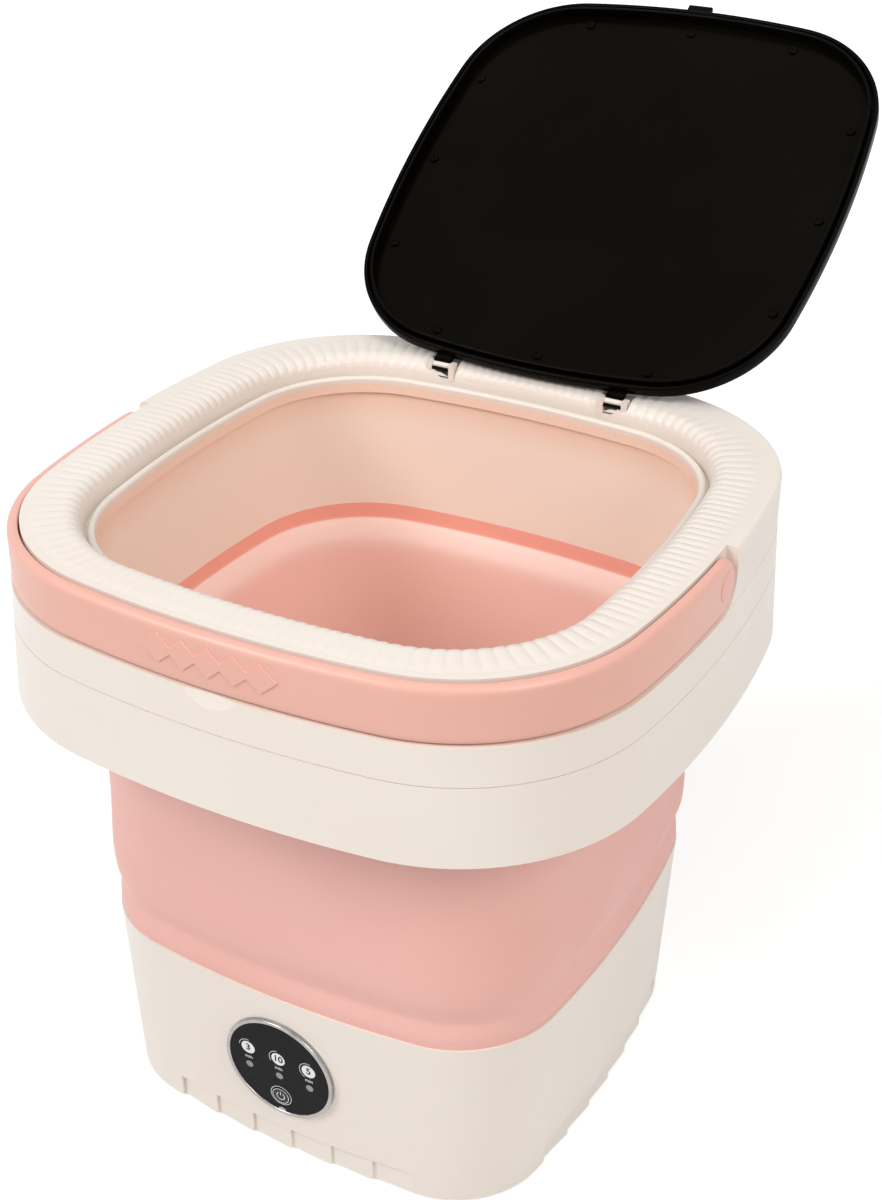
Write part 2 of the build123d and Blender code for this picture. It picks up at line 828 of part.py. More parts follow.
def foot_places():
    return [(sx * foot_reach, sy * foot_reach) for sx in (-1, 1) for sy in (-1, 1)]


def rubber_feet():
    top = cover_top
    return [rod(foot_radius, 0, foot_height, x, y) + rod(foot_stem_radius, foot_height, top, x, y)
            for x, y in foot_places()]


def bottom_screws():
    places = side_places(cover_post_half, base_half, cover_post_offset)
    return screws(places, foot_height, foot_height + bottom_screw_grip)


# Tub floor
def tub_floor():
    top = base_top + bead_thickness
    outer = [(tub_half - inset, floor_height + rise) for inset, rise in tub_bend] + [(tub_half, top)]
    floor_top = floor_height + floor_thickness
    inner = [(tub_half - tub_wall - inset, floor_top + rise) for inset, rise in tub_bend]
    inner += [(tub_half - tub_wall, top + tub_flange_height)]
    flange = prism(base_line, tub_flange_half, top, top + tub_flange_height)
    tub = stack(base_line, outer) + flange - stack(base_line, inner)
    tub += rod(hub_radius, floor_height - hub_drop, floor_height + floor_thickness + hub_rise)
    seal_low = floor_height - hub_drop + seal_floor
    tub -= rod(seal_radius + thin, seal_low, floor_height + floor_thickness + hub_rise)
    tub -= rod(shaft_radius + shaft_clearance, floor_height - hub_drop, seal_low)
    tub -= rod(drain_bore, floor_height, floor_top, drain_x, drain_y)
    tub += rods(ear_places(), ear_radius - ear_boss_step, case_top, floor_height + ear_boss_rise)
    tub -= rods(ear_places(), screw_radius + pilot_gap, case_top, case_top + gearbox_screw_grip)
    tub -= rods(side_places(tub_screw_half, base_half, tub_screw_offset), small_screw_radius + pilot_gap,
                top, top + tub_screw_grip)
    return tub


def tub_screws():
    places = side_places(tub_screw_half, base_half, tub_screw_offset)
    tip = base_top + bead_thickness + tub_screw_grip
    return screws(places, base_top - base_flange, tip, 1, small_screw_radius)


def shaft_seal():
    low = floor_height - hub_drop + seal_floor
    high = low + seal_height
    return rod(seal_radius, low, high) - rod(shaft_radius + run_gap / 2, low, high)


# Drive
gear_pitch = gear_module * gear_teeth / 2
pinion_pitch = gear_module * pinion_teeth / 2
gear_tip = gear_pitch + gear_module
pinion_tip = pinion_pitch + gear_module
centre_distance = gear_pitch + pinion_pitch
motor_x = centre_distance * cos(radians(motor_angle))
motor_y = centre_distance * sin(radians(motor_angle))
gear_top = gear_foot + gear_height


def gear_outline(teeth, turn):
    """Involute spur gear face; turn is the direction of the middle of one tooth, in degrees."""
    pitch = gear_module * teeth / 2
    pressure = radians(pressure_angle)
    base = pitch * cos(pressure)
    tip = pitch + gear_module
    root = pitch - dedendum_share * gear_module
    half_at_pitch = (pi * gear_module / 2 - backlash / 2) / (2 * pitch)
    start = max(base, root)

    def half_angle(radius):
        roll = acos(min(1.0, base / radius))
        return half_at_pitch + (tan(pressure) - pressure) - (tan(roll) - roll)

    corners = []
    for tooth in range(teeth):
        middle = radians(turn) + 2 * pi * tooth / teeth
        rising = [start + (tip - start) * step / flank_steps for step in range(flank_steps + 1)]
        flank = [(radius, half_angle(radius)) for radius in rising]
        if root < start:
            flank.insert(0, (root, half_angle(start)))
        turned = [(radius, middle - half) for radius, half in flank]
        turned += [(radius, middle + half) for radius, half in reversed(flank)]
        corners += [(radius * cos(angle), radius * sin(angle)) for radius, angle in turned]
    return make_face(Polyline(*corners, close=True))


def drive_gear():
    gear = extrude(Pos(0, 0, gear_foot) * gear_outline(gear_teeth, motor_angle), amount=gear_height)
    rim_inner = gear_pitch - dedendum_share * gear_module - gear_rim
    side_cut = (gear_height - gear_web) / 2
    gear -= rod(rim_inner, gear_foot, gear_foot + side_cut)
    gear -= rod(rim_inner, gear_top - side_cut, gear_top)
    gear += rod(gear_hub_radius, gear_foot - gear_hub_drop, gear_top)
    return gear - rod(shaft_radius + thin / 2, gear_foot - gear_hub_drop, gear_top)


def motor_pinion():
    gap_turn = motor_angle + 180 + 180 / pinion_teeth
    pinion = extrude(Pos(0, 0, gear_foot) * gear_outline(pinion_teeth, gap_turn), amount=gear_height)
    pinion -= rod(motor_shaft_radius + thin / 2, gear_foot, gear_top)
    return Pos(motor_x, motor_y, 0) * pinion


def motor_shaft():
    return rod(motor_shaft_radius, plate_foot - motor_shaft_depth, gear_top, motor_x, motor_y)


def ear_places():
    """Four fixing ears round the gearbox, the last beyond its motor lobe."""
    near = gear_tip + case_room + case_wall + ear_radius - ear_overlap
    far = centre_distance + motor_lobe + case_wall + ear_radius / 2
    reaches = ((-45, near), (45, near), (225, near), (motor_angle, far))
    return [(reach * cos(radians(angle)), reach * sin(radians(angle))) for angle, reach in reaches]


def gearbox_plan(margin):
    big = Circle(gear_tip + case_room + margin)
    small = Pos(motor_x, motor_y) * Circle(motor_lobe + margin)
    return make_hull((big + small).edges())


def gearbox_slab(margin, low, high):
    return extrude(Pos(0, 0, low) * gearbox_plan(margin), amount=high - low)


def gearbox_case():
    low = plate_foot + plate_thickness
    case = gearbox_slab(case_wall, low, case_top) + rods(ear_places(), ear_radius, low, case_top)
    case -= gearbox_slab(0, low, case_top - plate_thickness)
    case += rod(bush_flange_radius + bush_wall, gear_top + bush_gap, case_top - plate_thickness)
    case -= rod(bush_radius + thin / 2, gear_top, case_top)
    return case - rods(ear_places(), screw_radius + pilot_gap, low, case_top)


def gearbox_plate():
    top = plate_foot + plate_thickness
    plate = gearbox_slab(case_wall, plate_foot, top) + rods(ear_places(), ear_radius, plate_foot, top)
    plate += rod(bush_flange_radius + bush_wall, top, top + plate_hub_rise)
    plate -= rod(bush_radius + thin / 2, plate_foot, top + plate_hub_rise)
    plate -= rod(motor_shaft_radius + shaft_hole_gap, plate_foot, top, motor_x, motor_y)
    plate -= rods(motor_screw_places(), screw_radius + pilot_gap, plate_foot, top)
    return plate - rods(ear_places(), screw_radius + pilot_gap, plate_foot, top)


def gearbox_screws():
    return screws(ear_places(), plate_foot, case_top + gearbox_screw_grip - 1)


def upper_bush():
    bush = rod(bush_radius, gear_top + bush_gap, case_top)
    bush += rod(bush_flange_radius, case_top, case_top + bush_flange)
    return bush - rod(shaft_radius + run_gap / 2, gear_top, case_top + bush_flange)


def lower_bush():
    top = plate_foot + plate_thickness + plate_hub_rise
    bush = rod(bush_radius, plate_foot, top) + rod(bush_flange_radius, plate_foot - bush_flange, plate_foot)
    return bush - rod(shaft_radius + run_gap / 2, plate_foot - bush_flange, top)


def output_shaft():
    shaft = rod(shaft_radius, shaft_foot, shaft_top)
    return shaft - rod(pulsator_screw_radius + thin, shaft_top - pulsator_screw_length, shaft_top)


def shaft_clip():
    high = plate_foot - bush_flange - run_gap
    ring_clip = rod(clip_radius, high - clip_height, high)
    return ring_clip - rod(shaft_radius + thin / 2, high - clip_height, high)


def motor_screw_places():
    across = radians(motor_angle + 90)
    return [(motor_x + reach * cos(across), motor_y + reach * sin(across))
            for reach in (-motor_screw_offset, motor_screw_offset)]


def motor_can():
    can = rod(motor_radius, motor_foot, plate_foot, motor_x, motor_y)
    can = fillet(edges_at(can, motor_foot), motor_round)
    can += block(motor_x - terminal_half_width, motor_x + terminal_half_width,
                 motor_y - motor_radius - terminal_reach, motor_y - motor_radius + terminal_reach,
                 terminal_height - terminal_half_height, terminal_height + terminal_half_height)
    bore_low = plate_foot - motor_shaft_depth - motor_end_gap
    can -= rod(motor_shaft_radius + run_gap / 2, bore_low, plate_foot, motor_x, motor_y)
    pilot_low = plate_foot - motor_screw_grip
    return can - rods(motor_screw_places(), screw_radius + pilot_gap, pilot_low, plate_foot)


def motor_screws():
    tip = plate_foot - motor_screw_grip + pilot_gap
    return screws(motor_screw_places(), plate_foot + plate_thickness, tip, -1)


# Pulsator
def pulsator():
    foot = floor_height + floor_thickness + pulsator_gap
    seat = shaft_top + pulsator_skin
    hub_low = floor_height + floor_thickness + hub_rise + pulsator_step
    edge = pulsator_radius
    knee = pulsator_knee * edge
    bore = shaft_radius + thin / 2
    screw_bore = pulsator_screw_radius + thin
    outline = [(bore, hub_low), (gear_hub_radius, hub_low), (gear_hub_radius, seat - pulsator_skin),
               (knee, foot + pulsator_skin), (edge - pulsator_skin, foot + pulsator_step),
               (edge - pulsator_skin, foot), (edge, foot), (edge, foot + pulsator_skin),
               (knee + pulsator_step, foot + 2 * pulsator_skin),
               (cap_radius + crown_step, seat + pulsator_skin),
               (cap_radius + thin, seat + pulsator_skin + pulsator_step), (cap_radius + thin, seat),
               (screw_bore, seat), (screw_bore, shaft_top), (bore, shaft_top)]
    sheet = Plane.XZ * make_face(Polyline(*outline, close=True))
    disc = revolve(sheet, Axis.Z)
    crest = seat + 3 * pulsator_skin
    fin_end = edge - 2 * pulsator_skin
    fin_side = [(cap_radius + crown_step / 2, seat), (cap_radius + 2 * crown_step, crest),
                (fin_knee * edge, crest - pulsator_skin), (fin_end, foot + 2 * pulsator_skin),
                (fin_end, foot + pulsator_step), (knee, foot + pulsator_skin + pulsator_step)]
    fin_face = Plane.XZ * make_face(Polyline(*fin_side, close=True))
    fin = extrude(fin_face, amount=fin_thickness / 2, both=True)
    for index in range(fin_count):
        disc += Rot(0, 0, 360 * index / fin_count + 45) * fin
    return disc


def pulsator_screw():
    seat = shaft_top + pulsator_skin
    shank = rod(pulsator_screw_radius, shaft_top - pulsator_screw_length + pulsator_step, seat)
    return shank + rod(pulsator_screw_radius * 2, seat, seat + pulsator_screw_head)


def pulsator_cap():
    seat = shaft_top + pulsator_skin + pulsator_screw_head
    return rod(cap_radius, seat, seat + cap_thickness)


# Control panel
def bezel_peg_places():
    reach = bezel_radius - bezel_width / 2
    return [(reach * cos(radians(angle)), reach * sin(radians(angle))) for angle in (90, 210, 330)]


def panel_bezel():
    bezel = Cylinder(bezel_radius, bezel_height) - Cylinder(bezel_radius - bezel_width, bezel_height)
    bezel = fillet(bezel.edges().group_by(Axis.Z)[-1], bezel_round)
    bezel = on_panel(bezel, 0, 0, 0, bezel_height)
    for peg in bezel_peg_places():
        bezel += panel_rod(bezel_peg_radius, -bezel_peg_length, bezel_peg_radius / 2, *peg)
    ring_middle = bezel_radius - bezel_width / 3
    outside = Cylinder(2 * bezel_radius, disc_thickness) - Cylinder(ring_middle, disc_thickness)
    bump = Pos(0, -disc_radius - notch_drop, 0) * Cylinder(disc_notch - free_gap, disc_thickness) - outside
    return bezel + on_panel(bump, 0, 0, 0, disc_thickness)


def panel_disc():
    disc = panel_rod(disc_radius, 0, disc_thickness)
    disc -= panel_rod(disc_notch, 0, disc_thickness, 0, -disc_radius - notch_drop)
    for x in (-lamp_spacing, 0, lamp_spacing):
        disc -= panel_rod(time_lens_radius + thin, 0, disc_thickness, x, time_lens_lift)
        disc -= panel_rod(led_lens_radius + thin, 0, disc_thickness, x, -led_lens_drop)
    return disc - panel_rod(key_radius + key_gap, 0, disc_thickness, 0, -key_drop)


def lenses(radius, y):
    return [panel_rod(radius, 0, disc_thickness, x, y) for x in (-lamp_spacing, 0, lamp_spacing)]


def power_button():
    plunger_end = switch_height - board_depth + free_gap
    button = panel_rod(key_radius, -key_seat, disc_thickness + key_proud, 0, -key_drop)
    button += panel_rod(key_flange_radius, -key_seat - key_flange, -key_seat, 0, -key_drop)
    return button + panel_rod(plunger_radius, plunger_end, -key_flange, 0, -key_drop)


def control_board():
    width = 2 * board_half_width
    height = board_low + board_high
    back = -board_depth - board_thickness
    slab = on_panel(Box(width, height, board_thickness), 0, (board_high - board_low) / 2, back, -board_depth)
    for x in (-standoff_x, standoff_x):
        for y in (-standoff_low, standoff_high):
            slab -= panel_rod(board_screw_radius + pilot_gap, back, -board_depth, x, y)
    return slab


def board_screws():
    made = []
    seat = -board_depth - board_thickness
    for x in (-standoff_x, standoff_x):
        for y in (-standoff_low, standoff_high):
            shank = panel_rod(board_screw_radius, seat, -wall - 1.5 * pilot_skin, x, y)
            made.append(shank + panel_rod(standoff_radius - free_gap, seat - board_screw_head, seat, x, y))
    return made


def led_lamps():
    return [panel_rod(led_radius, -board_depth, -wall, x, -led_lens_drop)
            for x in (-lamp_spacing, 0, lamp_spacing)]


def switch_body():
    top = switch_height - board_depth
    body = on_panel(Box(switch_size, switch_size, switch_height), 0, -key_drop, -board_depth, top)
    room = stem_length + key_travel
    return body - panel_rod(stem_radius + run_gap, top - room, top, 0, -key_drop)


def switch_stem():
    top = switch_height - board_depth + free_gap
    return panel_rod(stem_radius, top - stem_length, top, 0, -key_drop)


# Rear of the base
def dc_socket():
    y = rear_wall_y(socket_x, rear_height) + rear_pad
    socket = rod_y(socket_radius, y - socket_length, y, socket_x, rear_height)
    socket += rod_y(socket_flange_radius, y, y + socket_flange, socket_x, rear_height)
    mouth = y + socket_flange
    floor = mouth - socket_bore_depth
    socket -= rod_y(socket_bore, floor, mouth, socket_x, rear_height)
    return socket + rod_y(socket_pin, floor, mouth - socket_flange, socket_x, rear_height)


def dc_nut():
    seat = rear_wall_y(socket_x, rear_height) - rear_boss_depth
    hexagon = RegularPolygon(nut_across / 2, 6, major_radius=False) - Circle(socket_radius + thin)
    return Pos(socket_x, seat, rear_height) * Rot(90, 0, 0) * extrude(hexagon, amount=nut_height)


def drain_elbow():
    outlet = rear_wall_y(drain_x, rear_height) + drain_proud
    elbow = rod(drain_radius, rear_height, floor_height, drain_x, drain_y)
    elbow += Pos(drain_x, drain_y, rear_height) * Sphere(drain_radius)
    elbow += rod_y(drain_radius, drain_y, outlet, drain_x, rear_height)
    elbow += rod(drain_collar_radius, floor_height - drain_collar, floor_height, drain_x, drain_y)
    elbow -= rod(drain_bore, rear_height, floor_height, drain_x, drain_y)
    elbow -= Pos(drain_x, drain_y, rear_height) * Sphere(drain_bore)
    return elbow - rod_y(drain_bore, drain_y, outlet, drain_x, rear_height)


def drain_plug():
    outlet = rear_wall_y(drain_x, rear_height) + drain_proud
    plug = rod_y(drain_bore - run_gap, outlet - plug_length, outlet, drain_x, rear_height)
    plug += rod_y(plug_head_radius, outlet, outlet + plug_head, drain_x, rear_height)
    grip = block(drain_x - plug_grip_thickness / 2, drain_x + plug_grip_thickness / 2, outlet + plug_head,
                 outlet + plug_head + plug_grip, rear_height - plug_grip / 2, rear_height + plug_grip / 2)
    return plug + grip


# Leads
def lead(points, bend):
    path = FilletPolyline(*points, radius=bend)
    section = Plane(origin=path @ 0, z_dir=path % 0) * Circle(lead_radius)
    return sweep(section, path=path)


def board_back(x, y, depth=0.0):
    """A point on the rear face of the control board, or straight behind it."""
    place = (panel.location * Pos(x, y, -board_depth - board_thickness - depth)).position
    return place.X, place.Y, place.Z


def motor_leads():
    made = []
    for side in (-1, 1):
        spread = side * lead_spacing / 2
        start = spread - lead_spacing
        end = motor_y - motor_radius - terminal_reach
        points = [board_back(start, lead_board_row), board_back(start, lead_board_row, lead_start),
                  (motor_x + spread, -base_half / 2, lead_level),
                  (motor_x + spread, end - lead_start, terminal_height),
                  (motor_x + spread, end, terminal_height)]
        made.append(lead(points, lead_bend))
    return made


def supply_leads():
    made = []
    rear = rear_wall_y(socket_x, rear_height) + rear_pad - socket_length
    for side in (-1, 1):
        spread = side * lead_spacing / 2
        start = spread + 2 * lead_spacing
        points = [(socket_x + spread, rear, rear_height),
                  (socket_x + spread, rear - lead_start, rear_height), (start, base_half / 3, lead_level),
                  (start, -base_half / 2, lead_level),
                  board_back(start, lead_board_row, lead_start), board_back(start, lead_board_row)]
        made.append(lead(points, lead_bend))
    return made


nodes = {
    "rim_cover": rim_cover, "inner_wall": inner_wall, "wall_screws": wall_screws,
    "skirt_ring": skirt_ring, "upper_clamp": upper_clamp, "clamp_screws": clamp_screws,
    "skirt_screws": skirt_screws, "bellows": bellows, "handle": handle, "pivot_washers": pivot_washers,
    "pivot_screws": pivot_screws, "lid": lid, "base_shell": base_shell, "bottom_cover": bottom_cover,
    "rubber_feet": rubber_feet, "bottom_screws": bottom_screws, "tub_floor": tub_floor,
    "tub_screws": tub_screws, "shaft_seal": shaft_seal, "drive_gear": drive_gear,
    "motor_pinion": motor_pinion, "motor_shaft": motor_shaft, "gearbox_case": gearbox_case,
    "gearbox_plate": gearbox_plate, "gearbox_screws": gearbox_screws, "upper_bush": upper_bush,
    "lower_bush": lower_bush, "output_shaft": output_shaft, "shaft_clip": shaft_clip,
    "motor_can": motor_can, "motor_screws": motor_screws, "pulsator": pulsator,
    "pulsator_screw": pulsator_screw, "pulsator_cap": pulsator_cap, "panel_bezel": panel_bezel,
    "panel_disc": panel_disc, "time_lenses": lambda: lenses(time_lens_radius, time_lens_lift),
    "led_lenses": lambda: lenses(led_lens_radius, -led_lens_drop), "power_button": power_button,
    "control_board": control_board, "board_screws": board_screws, "led_lamps": led_lamps,
    "switch_body": switch_body, "switch_stem": switch_stem, "dc_socket": dc_socket, "dc_nut": dc_nut,
    "drain_elbow": drain_elbow, "drain_plug": drain_plug, "motor_leads": motor_leads,
    "supply_leads": supply_leads,
}

os.makedirs("parts", exist_ok=True)
for name, make in nodes.items():
    shape = make()
    if isinstance(shape, list):
        shape = Compound(children=[Compound(children=solid.solids()) for solid in shape])
    export_step(shape, "parts/" + name + ".step")
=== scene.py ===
import math

import bmesh
import bpy
from mathutils import Matrix, Vector


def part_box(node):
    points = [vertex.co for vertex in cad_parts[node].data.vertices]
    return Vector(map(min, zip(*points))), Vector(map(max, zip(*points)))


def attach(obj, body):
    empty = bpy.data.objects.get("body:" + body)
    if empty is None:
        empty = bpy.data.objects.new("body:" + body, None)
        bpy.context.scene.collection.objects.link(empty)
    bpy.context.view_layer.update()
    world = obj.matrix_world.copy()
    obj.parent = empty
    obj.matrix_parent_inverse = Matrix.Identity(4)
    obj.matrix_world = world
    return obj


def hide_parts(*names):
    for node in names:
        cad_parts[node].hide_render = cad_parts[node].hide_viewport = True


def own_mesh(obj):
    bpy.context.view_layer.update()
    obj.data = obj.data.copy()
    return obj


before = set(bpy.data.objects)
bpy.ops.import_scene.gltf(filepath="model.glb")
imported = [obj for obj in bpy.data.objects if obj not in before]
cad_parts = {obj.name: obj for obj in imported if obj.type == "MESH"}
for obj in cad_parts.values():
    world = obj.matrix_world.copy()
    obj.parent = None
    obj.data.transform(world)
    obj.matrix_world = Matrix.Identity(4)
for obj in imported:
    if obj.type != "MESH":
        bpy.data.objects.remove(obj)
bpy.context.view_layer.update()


# Cream shells: the rim cover on top, the skirt ring under it and the base shell that stands on the floor.
# They are injection-moulded in a satin plastic with a fine mould grain. The skirt ring is screwed up into
# the rim cover, and the bellows hangs between the two and the base.
class Shade:
    """A shader socket that can be used in sums, so that a material reads as arithmetic."""

    def __init__(self, tree, socket):
        self.tree = tree
        self.socket = socket

    def node(self, kind, output, inputs, **settings):
        made = self.tree.nodes.new(kind)
        for name, value in settings.items():
            setattr(made, name, value)
        for name, value in inputs.items():
            if isinstance(value, Shade):
                self.tree.links.new(value.socket, made.inputs[name])
            else:
                made.inputs[name].default_value = value
        return Shade(self.tree, made.outputs[output])

    def math(self, operation, first, second):
        return self.node("ShaderNodeMath", 0, {0: first, 1: second}, operation=operation)

    def __add__(self, other):
        return self.math("ADD", self, other)

    def __radd__(self, other):
        return self.math("ADD", other, self)

    def __mul__(self, other):
        return self.math("MULTIPLY", self, other)

    def __rmul__(self, other):
        return self.math("MULTIPLY", other, self)

    def between(self, low, high, to_low=0.0, to_high=1.0):
        return self.node("ShaderNodeMapRange", "Result", {"Value": self, "From Min": low, "From Max": high,
                                                          "To Min": to_low, "To Max": to_high},
                         interpolation_type="SMOOTHSTEP")

    def feed(self, shader, socket):
        self.tree.links.new(self.socket, shader.inputs[socket])


def new_material(name, roughness, metallic=0.0, specular=0.5):
    """A material, its shader, and the object's own coordinates in metres to draw on."""
    material = bpy.data.materials.new(name)
    material.use_nodes = True
    tree = material.node_tree
    shader = tree.nodes["Principled BSDF"]
    shader.inputs["Roughness"].default_value = roughness
    shader.inputs["Metallic"].default_value = metallic
    shader.inputs["Specular IOR Level"].default_value = specular
    coordinates = tree.nodes.new("ShaderNodeTexCoord")
    return material, shader, Shade(tree, coordinates.outputs["Object"])


def noise(place, scale, detail=2.0, roughness=0.5):
    return place.node("ShaderNodeTexNoise", "Fac", {"Vector": place, "Scale": scale, "Detail": detail,
                                                    "Roughness": roughness})


def blend_colours(amount, first, second):
    first, second = (end if isinstance(end, Shade) else (*end, 1) for end in (first, second))
    return amount.node("ShaderNodeMix", 2, {0: amount, 6: first, 7: second}, data_type="RGBA")


def bump(height, strength, distance):
    return height.node("ShaderNodeBump", "Normal",
                       {"Height": height, "Strength": strength, "Distance": distance})


drift_scale, patch_scale, grain_scale, grain_depth = 9.0, 35.0, 900.0, 0.0002


def plastic(name, low, high, roughness, grain=0.05, specular=0.5):
    """Moulded plastic: a slight drift of tone, a fine mould grain and uneven gloss."""
    material, shader, place = new_material(name, roughness, 0.0, specular)
    drift = noise(place, drift_scale, 3.0).between(0.3, 0.7)
    blend_colours(drift, low, high).feed(shader, "Base Color")
    patch = noise(place, patch_scale, 3.0)
    patch.between(0.25, 0.75, roughness - 0.05, roughness + 0.06).feed(shader, "Roughness")
    bump(noise(place, grain_scale), grain, grain_depth).feed(shader, "Normal")
    return material


def dress(material, *names):
    for name in names:
        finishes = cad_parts[name].data.materials
        finishes.clear()
        finishes.append(material)


cream_low, cream_high = (0.86, 0.782, 0.705), (0.875, 0.805, 0.735)
cream = plastic("cream", cream_low, cream_high, 0.36)
dress(cream, "rim_cover", "skirt_ring", "base_shell")


# White inner mouldings: the tub's floor, the pulsator that turns the water, its cap, the ring that clamps
# the bellows, the cover under the base, the drain elbow, the switch's stem and the drive's two gears.
white = plastic("white", (0.80, 0.79, 0.77), (0.84, 0.83, 0.81), 0.42)
dress(white, "tub_floor", "pulsator", "pulsator_cap", "upper_clamp", "bottom_cover", "drain_elbow",
      "switch_stem", "drive_gear", "motor_pinion")


# Feet and drain plug: four round pads pressed into the bottom cover, and the plug pushed into the drain's
# elbow. They are moulded in a dull grey rubber.
foot_grey = plastic("foot_grey", (0.10, 0.095, 0.09), (0.14, 0.13, 0.125), 0.65, 0.2)
dress(foot_grey, "rubber_feet", "drain_plug")


# Gearbox: a case under the tub's floor and its lower plate, moulded in a stiff grey plastic and screwed
# together round the two gears.
grey = plastic("grey", (0.28, 0.29, 0.31), (0.33, 0.34, 0.36), 0.5, 0.1)
dress(grey, "gearbox_case", "gearbox_plate")


# Metal parts: drawn and turned steel for the motor's can, the shafts, the clip, the nut and all the screws
# and washers, and turned brass for the two bushes that are pressed round the output shaft.
def metal(name, colour, roughness):
    """Drawn or turned metal with fine scratches."""
    material, shader, place = new_material(name, roughness, 1.0)
    scratches = noise(place, 260.0, 4.0, 0.7)
    dark = tuple(0.82 * channel for channel in colour)
    blend_colours(scratches.between(0.3, 0.7), dark, colour).feed(shader, "Base Color")
    scratches.between(0.3, 0.7, roughness - 0.06, roughness + 0.08).feed(shader, "Roughness")
    bump(scratches, 0.06, 0.0001).feed(shader, "Normal")
    return material


steel = metal("steel", (0.62, 0.62, 0.63), 0.3)
dress(steel, "motor_can", "motor_shaft", "output_shaft", "shaft_clip", "dc_nut", "pivot_washers",
      "pivot_screws", "board_screws", "bottom_screws", "clamp_screws", "gearbox_screws", "motor_screws",
      "pulsator_screw", "skirt_screws", "tub_screws", "wall_screws")
brass = metal("brass", (0.72, 0.5, 0.2), 0.28)
dress(brass, "upper_bush", "lower_bush")


# Electric parts: a green board with a black switch behind the panel, the black socket and its lead at the
# back, the red lead to the motor, and the rubber seal that keeps water off the drive.
board_green = plastic("board_green", (0.03, 0.14, 0.06), (0.04, 0.18, 0.08), 0.35)
dress(board_green, "control_board")
soft_black = plastic("soft_black", (0.018, 0.018, 0.018), (0.03, 0.03, 0.03), 0.6, 0.15)
dress(soft_black, "switch_body", "dc_socket", "supply_leads", "shaft_seal")
lead_red = plastic("lead_red", (0.42, 0.03, 0.025), (0.5, 0.05, 0.04), 0.45)
dress(lead_red, "motor_leads")


# Control panel: a black disc with three white lenses for the washing times, a small grey lens under each
# and a round power key. A bright metal ring frames it and is pressed into the front of the base shell.
silver = metal("silver", (0.43, 0.42, 0.415), 0.24)
dress(silver, "panel_bezel")
panel_black = plastic("panel_black", (0.006, 0.006, 0.0065), (0.009, 0.009, 0.0095), 0.25, 0.02, 0.06)
dress(panel_black, "panel_disc")
lens_white = plastic("lens_white", (0.82, 0.82, 0.82), (0.88, 0.88, 0.88), 0.4, 0.02)
dress(lens_white, "time_lenses", "led_lamps")
lens_grey = plastic("lens_grey", (0.22, 0.22, 0.23), (0.30, 0.30, 0.31), 0.4, 0.02)
dress(lens_grey, "led_lenses")
key_black = plastic("key_black", (0.014, 0.014, 0.015), (0.022, 0.022, 0.024), 0.3, 0.03, 0.2)
dress(key_black, "power_button")


# Panel prints: a number on each white lens, and in white an arc beside it, the word min under it, two rings
# and the power mark at the key. They are pad-printed, so they are thin sheets laid just above the faces.
disc_low, disc_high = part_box("panel_disc")
disc_half = (disc_high.x - disc_low.x) / 2
base_flare, base_rise = 0.0049, 0.1007
panel_tilt = math.atan2(base_flare, base_rise)
panel_centre = Vector((0, disc_low.y + disc_half * math.sin(panel_tilt), (disc_low.z + disc_high.z) / 2))
panel_place = Matrix.Translation(panel_centre) @ Matrix.Rotation(math.pi / 2 + panel_tilt, 4, "X")
lens_up, lens_apart, key_down = 0.0067, 0.0172, 0.018
disc_print, key_print = 0.00008, 0.0005
arc_radius, arc_width = 0.0050, 0.00028
min_down, min_size, min_weight = 0.0062, 0.0030, 0.00002
number_size, number_weight = 0.0056, 0.0001
outer_ring, inner_ring, ring_width = 0.0058, 0.0045, 0.00032
mark_radius, mark_width, mark_foot, mark_top = 0.0022, 0.00042, 0.0006, 0.0030


def turn_line(mesh, points, centre, axis, angle, steps):
    """Spins a line of points about an axis, and joins its ends where it goes all the way round."""
    corners = [mesh.verts.new(point) for point in points]
    edges = [mesh.edges.new(pair) for pair in zip(corners, corners[1:])]
    whole = math.isclose(angle, 2 * math.pi)
    bmesh.ops.spin(mesh, geom=corners + edges, cent=centre, axis=axis, angle=angle, steps=steps,
                   use_merge=whole)


def print_ring(mesh, x, y, radius, width, start, end, height):
    """A flat ring or arc, from one angle to another in degrees."""
    steps = max(8, int(abs(end - start) / 6))
    along = Vector((math.cos(math.radians(start)), math.sin(math.radians(start)), 0))
    centre = Vector((x, y, height))
    line = [centre + along * (radius + side * width / 2) for side in (-1, 1)]
    turn_line(mesh, line, centre, (0, 0, 1), math.radians(end - start), steps)


def print_words(mesh, text, x, y, size, weight, height):
    curve = bpy.data.curves.new("words", "FONT")
    curve.body = text
    curve.size = size
    curve.offset = weight
    curve.align_x = "CENTER"
    curve.align_y = "CENTER"
    holder = bpy.data.objects.new("words", curve)
    flat = bpy.data.meshes.new_from_object(holder)
    flat.transform(Matrix.Translation((x, y, height)))
    mesh.from_mesh(flat)
    bpy.data.objects.remove(holder)
    bpy.data.curves.remove(curve)
    bpy.data.meshes.remove(flat)


def finish_piece(name, mesh, material, body, sharp_angle=0.7):
    """Cleans a mesh, shades it smooth but for its sharper edges, and puts it on its body."""
    bmesh.ops.remove_doubles(mesh, verts=mesh.verts, dist=0.000002)
    bmesh.ops.dissolve_degenerate(mesh, edges=mesh.edges, dist=0.000001)
    bmesh.ops.recalc_face_normals(mesh, faces=mesh.faces)
    for face in mesh.faces:
        face.smooth = True
    for edge in mesh.edges:
        edge.smooth = len(edge.link_faces) != 2 or edge.calc_face_angle(0.0) < sharp_angle
    data = bpy.data.meshes.new(name)
    mesh.to_mesh(data)
    mesh.free()
    data.materials.append(material)
    piece = bpy.data.objects.new(name, data)
    bpy.context.scene.collection.objects.link(piece)
    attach(piece, body)
    return piece


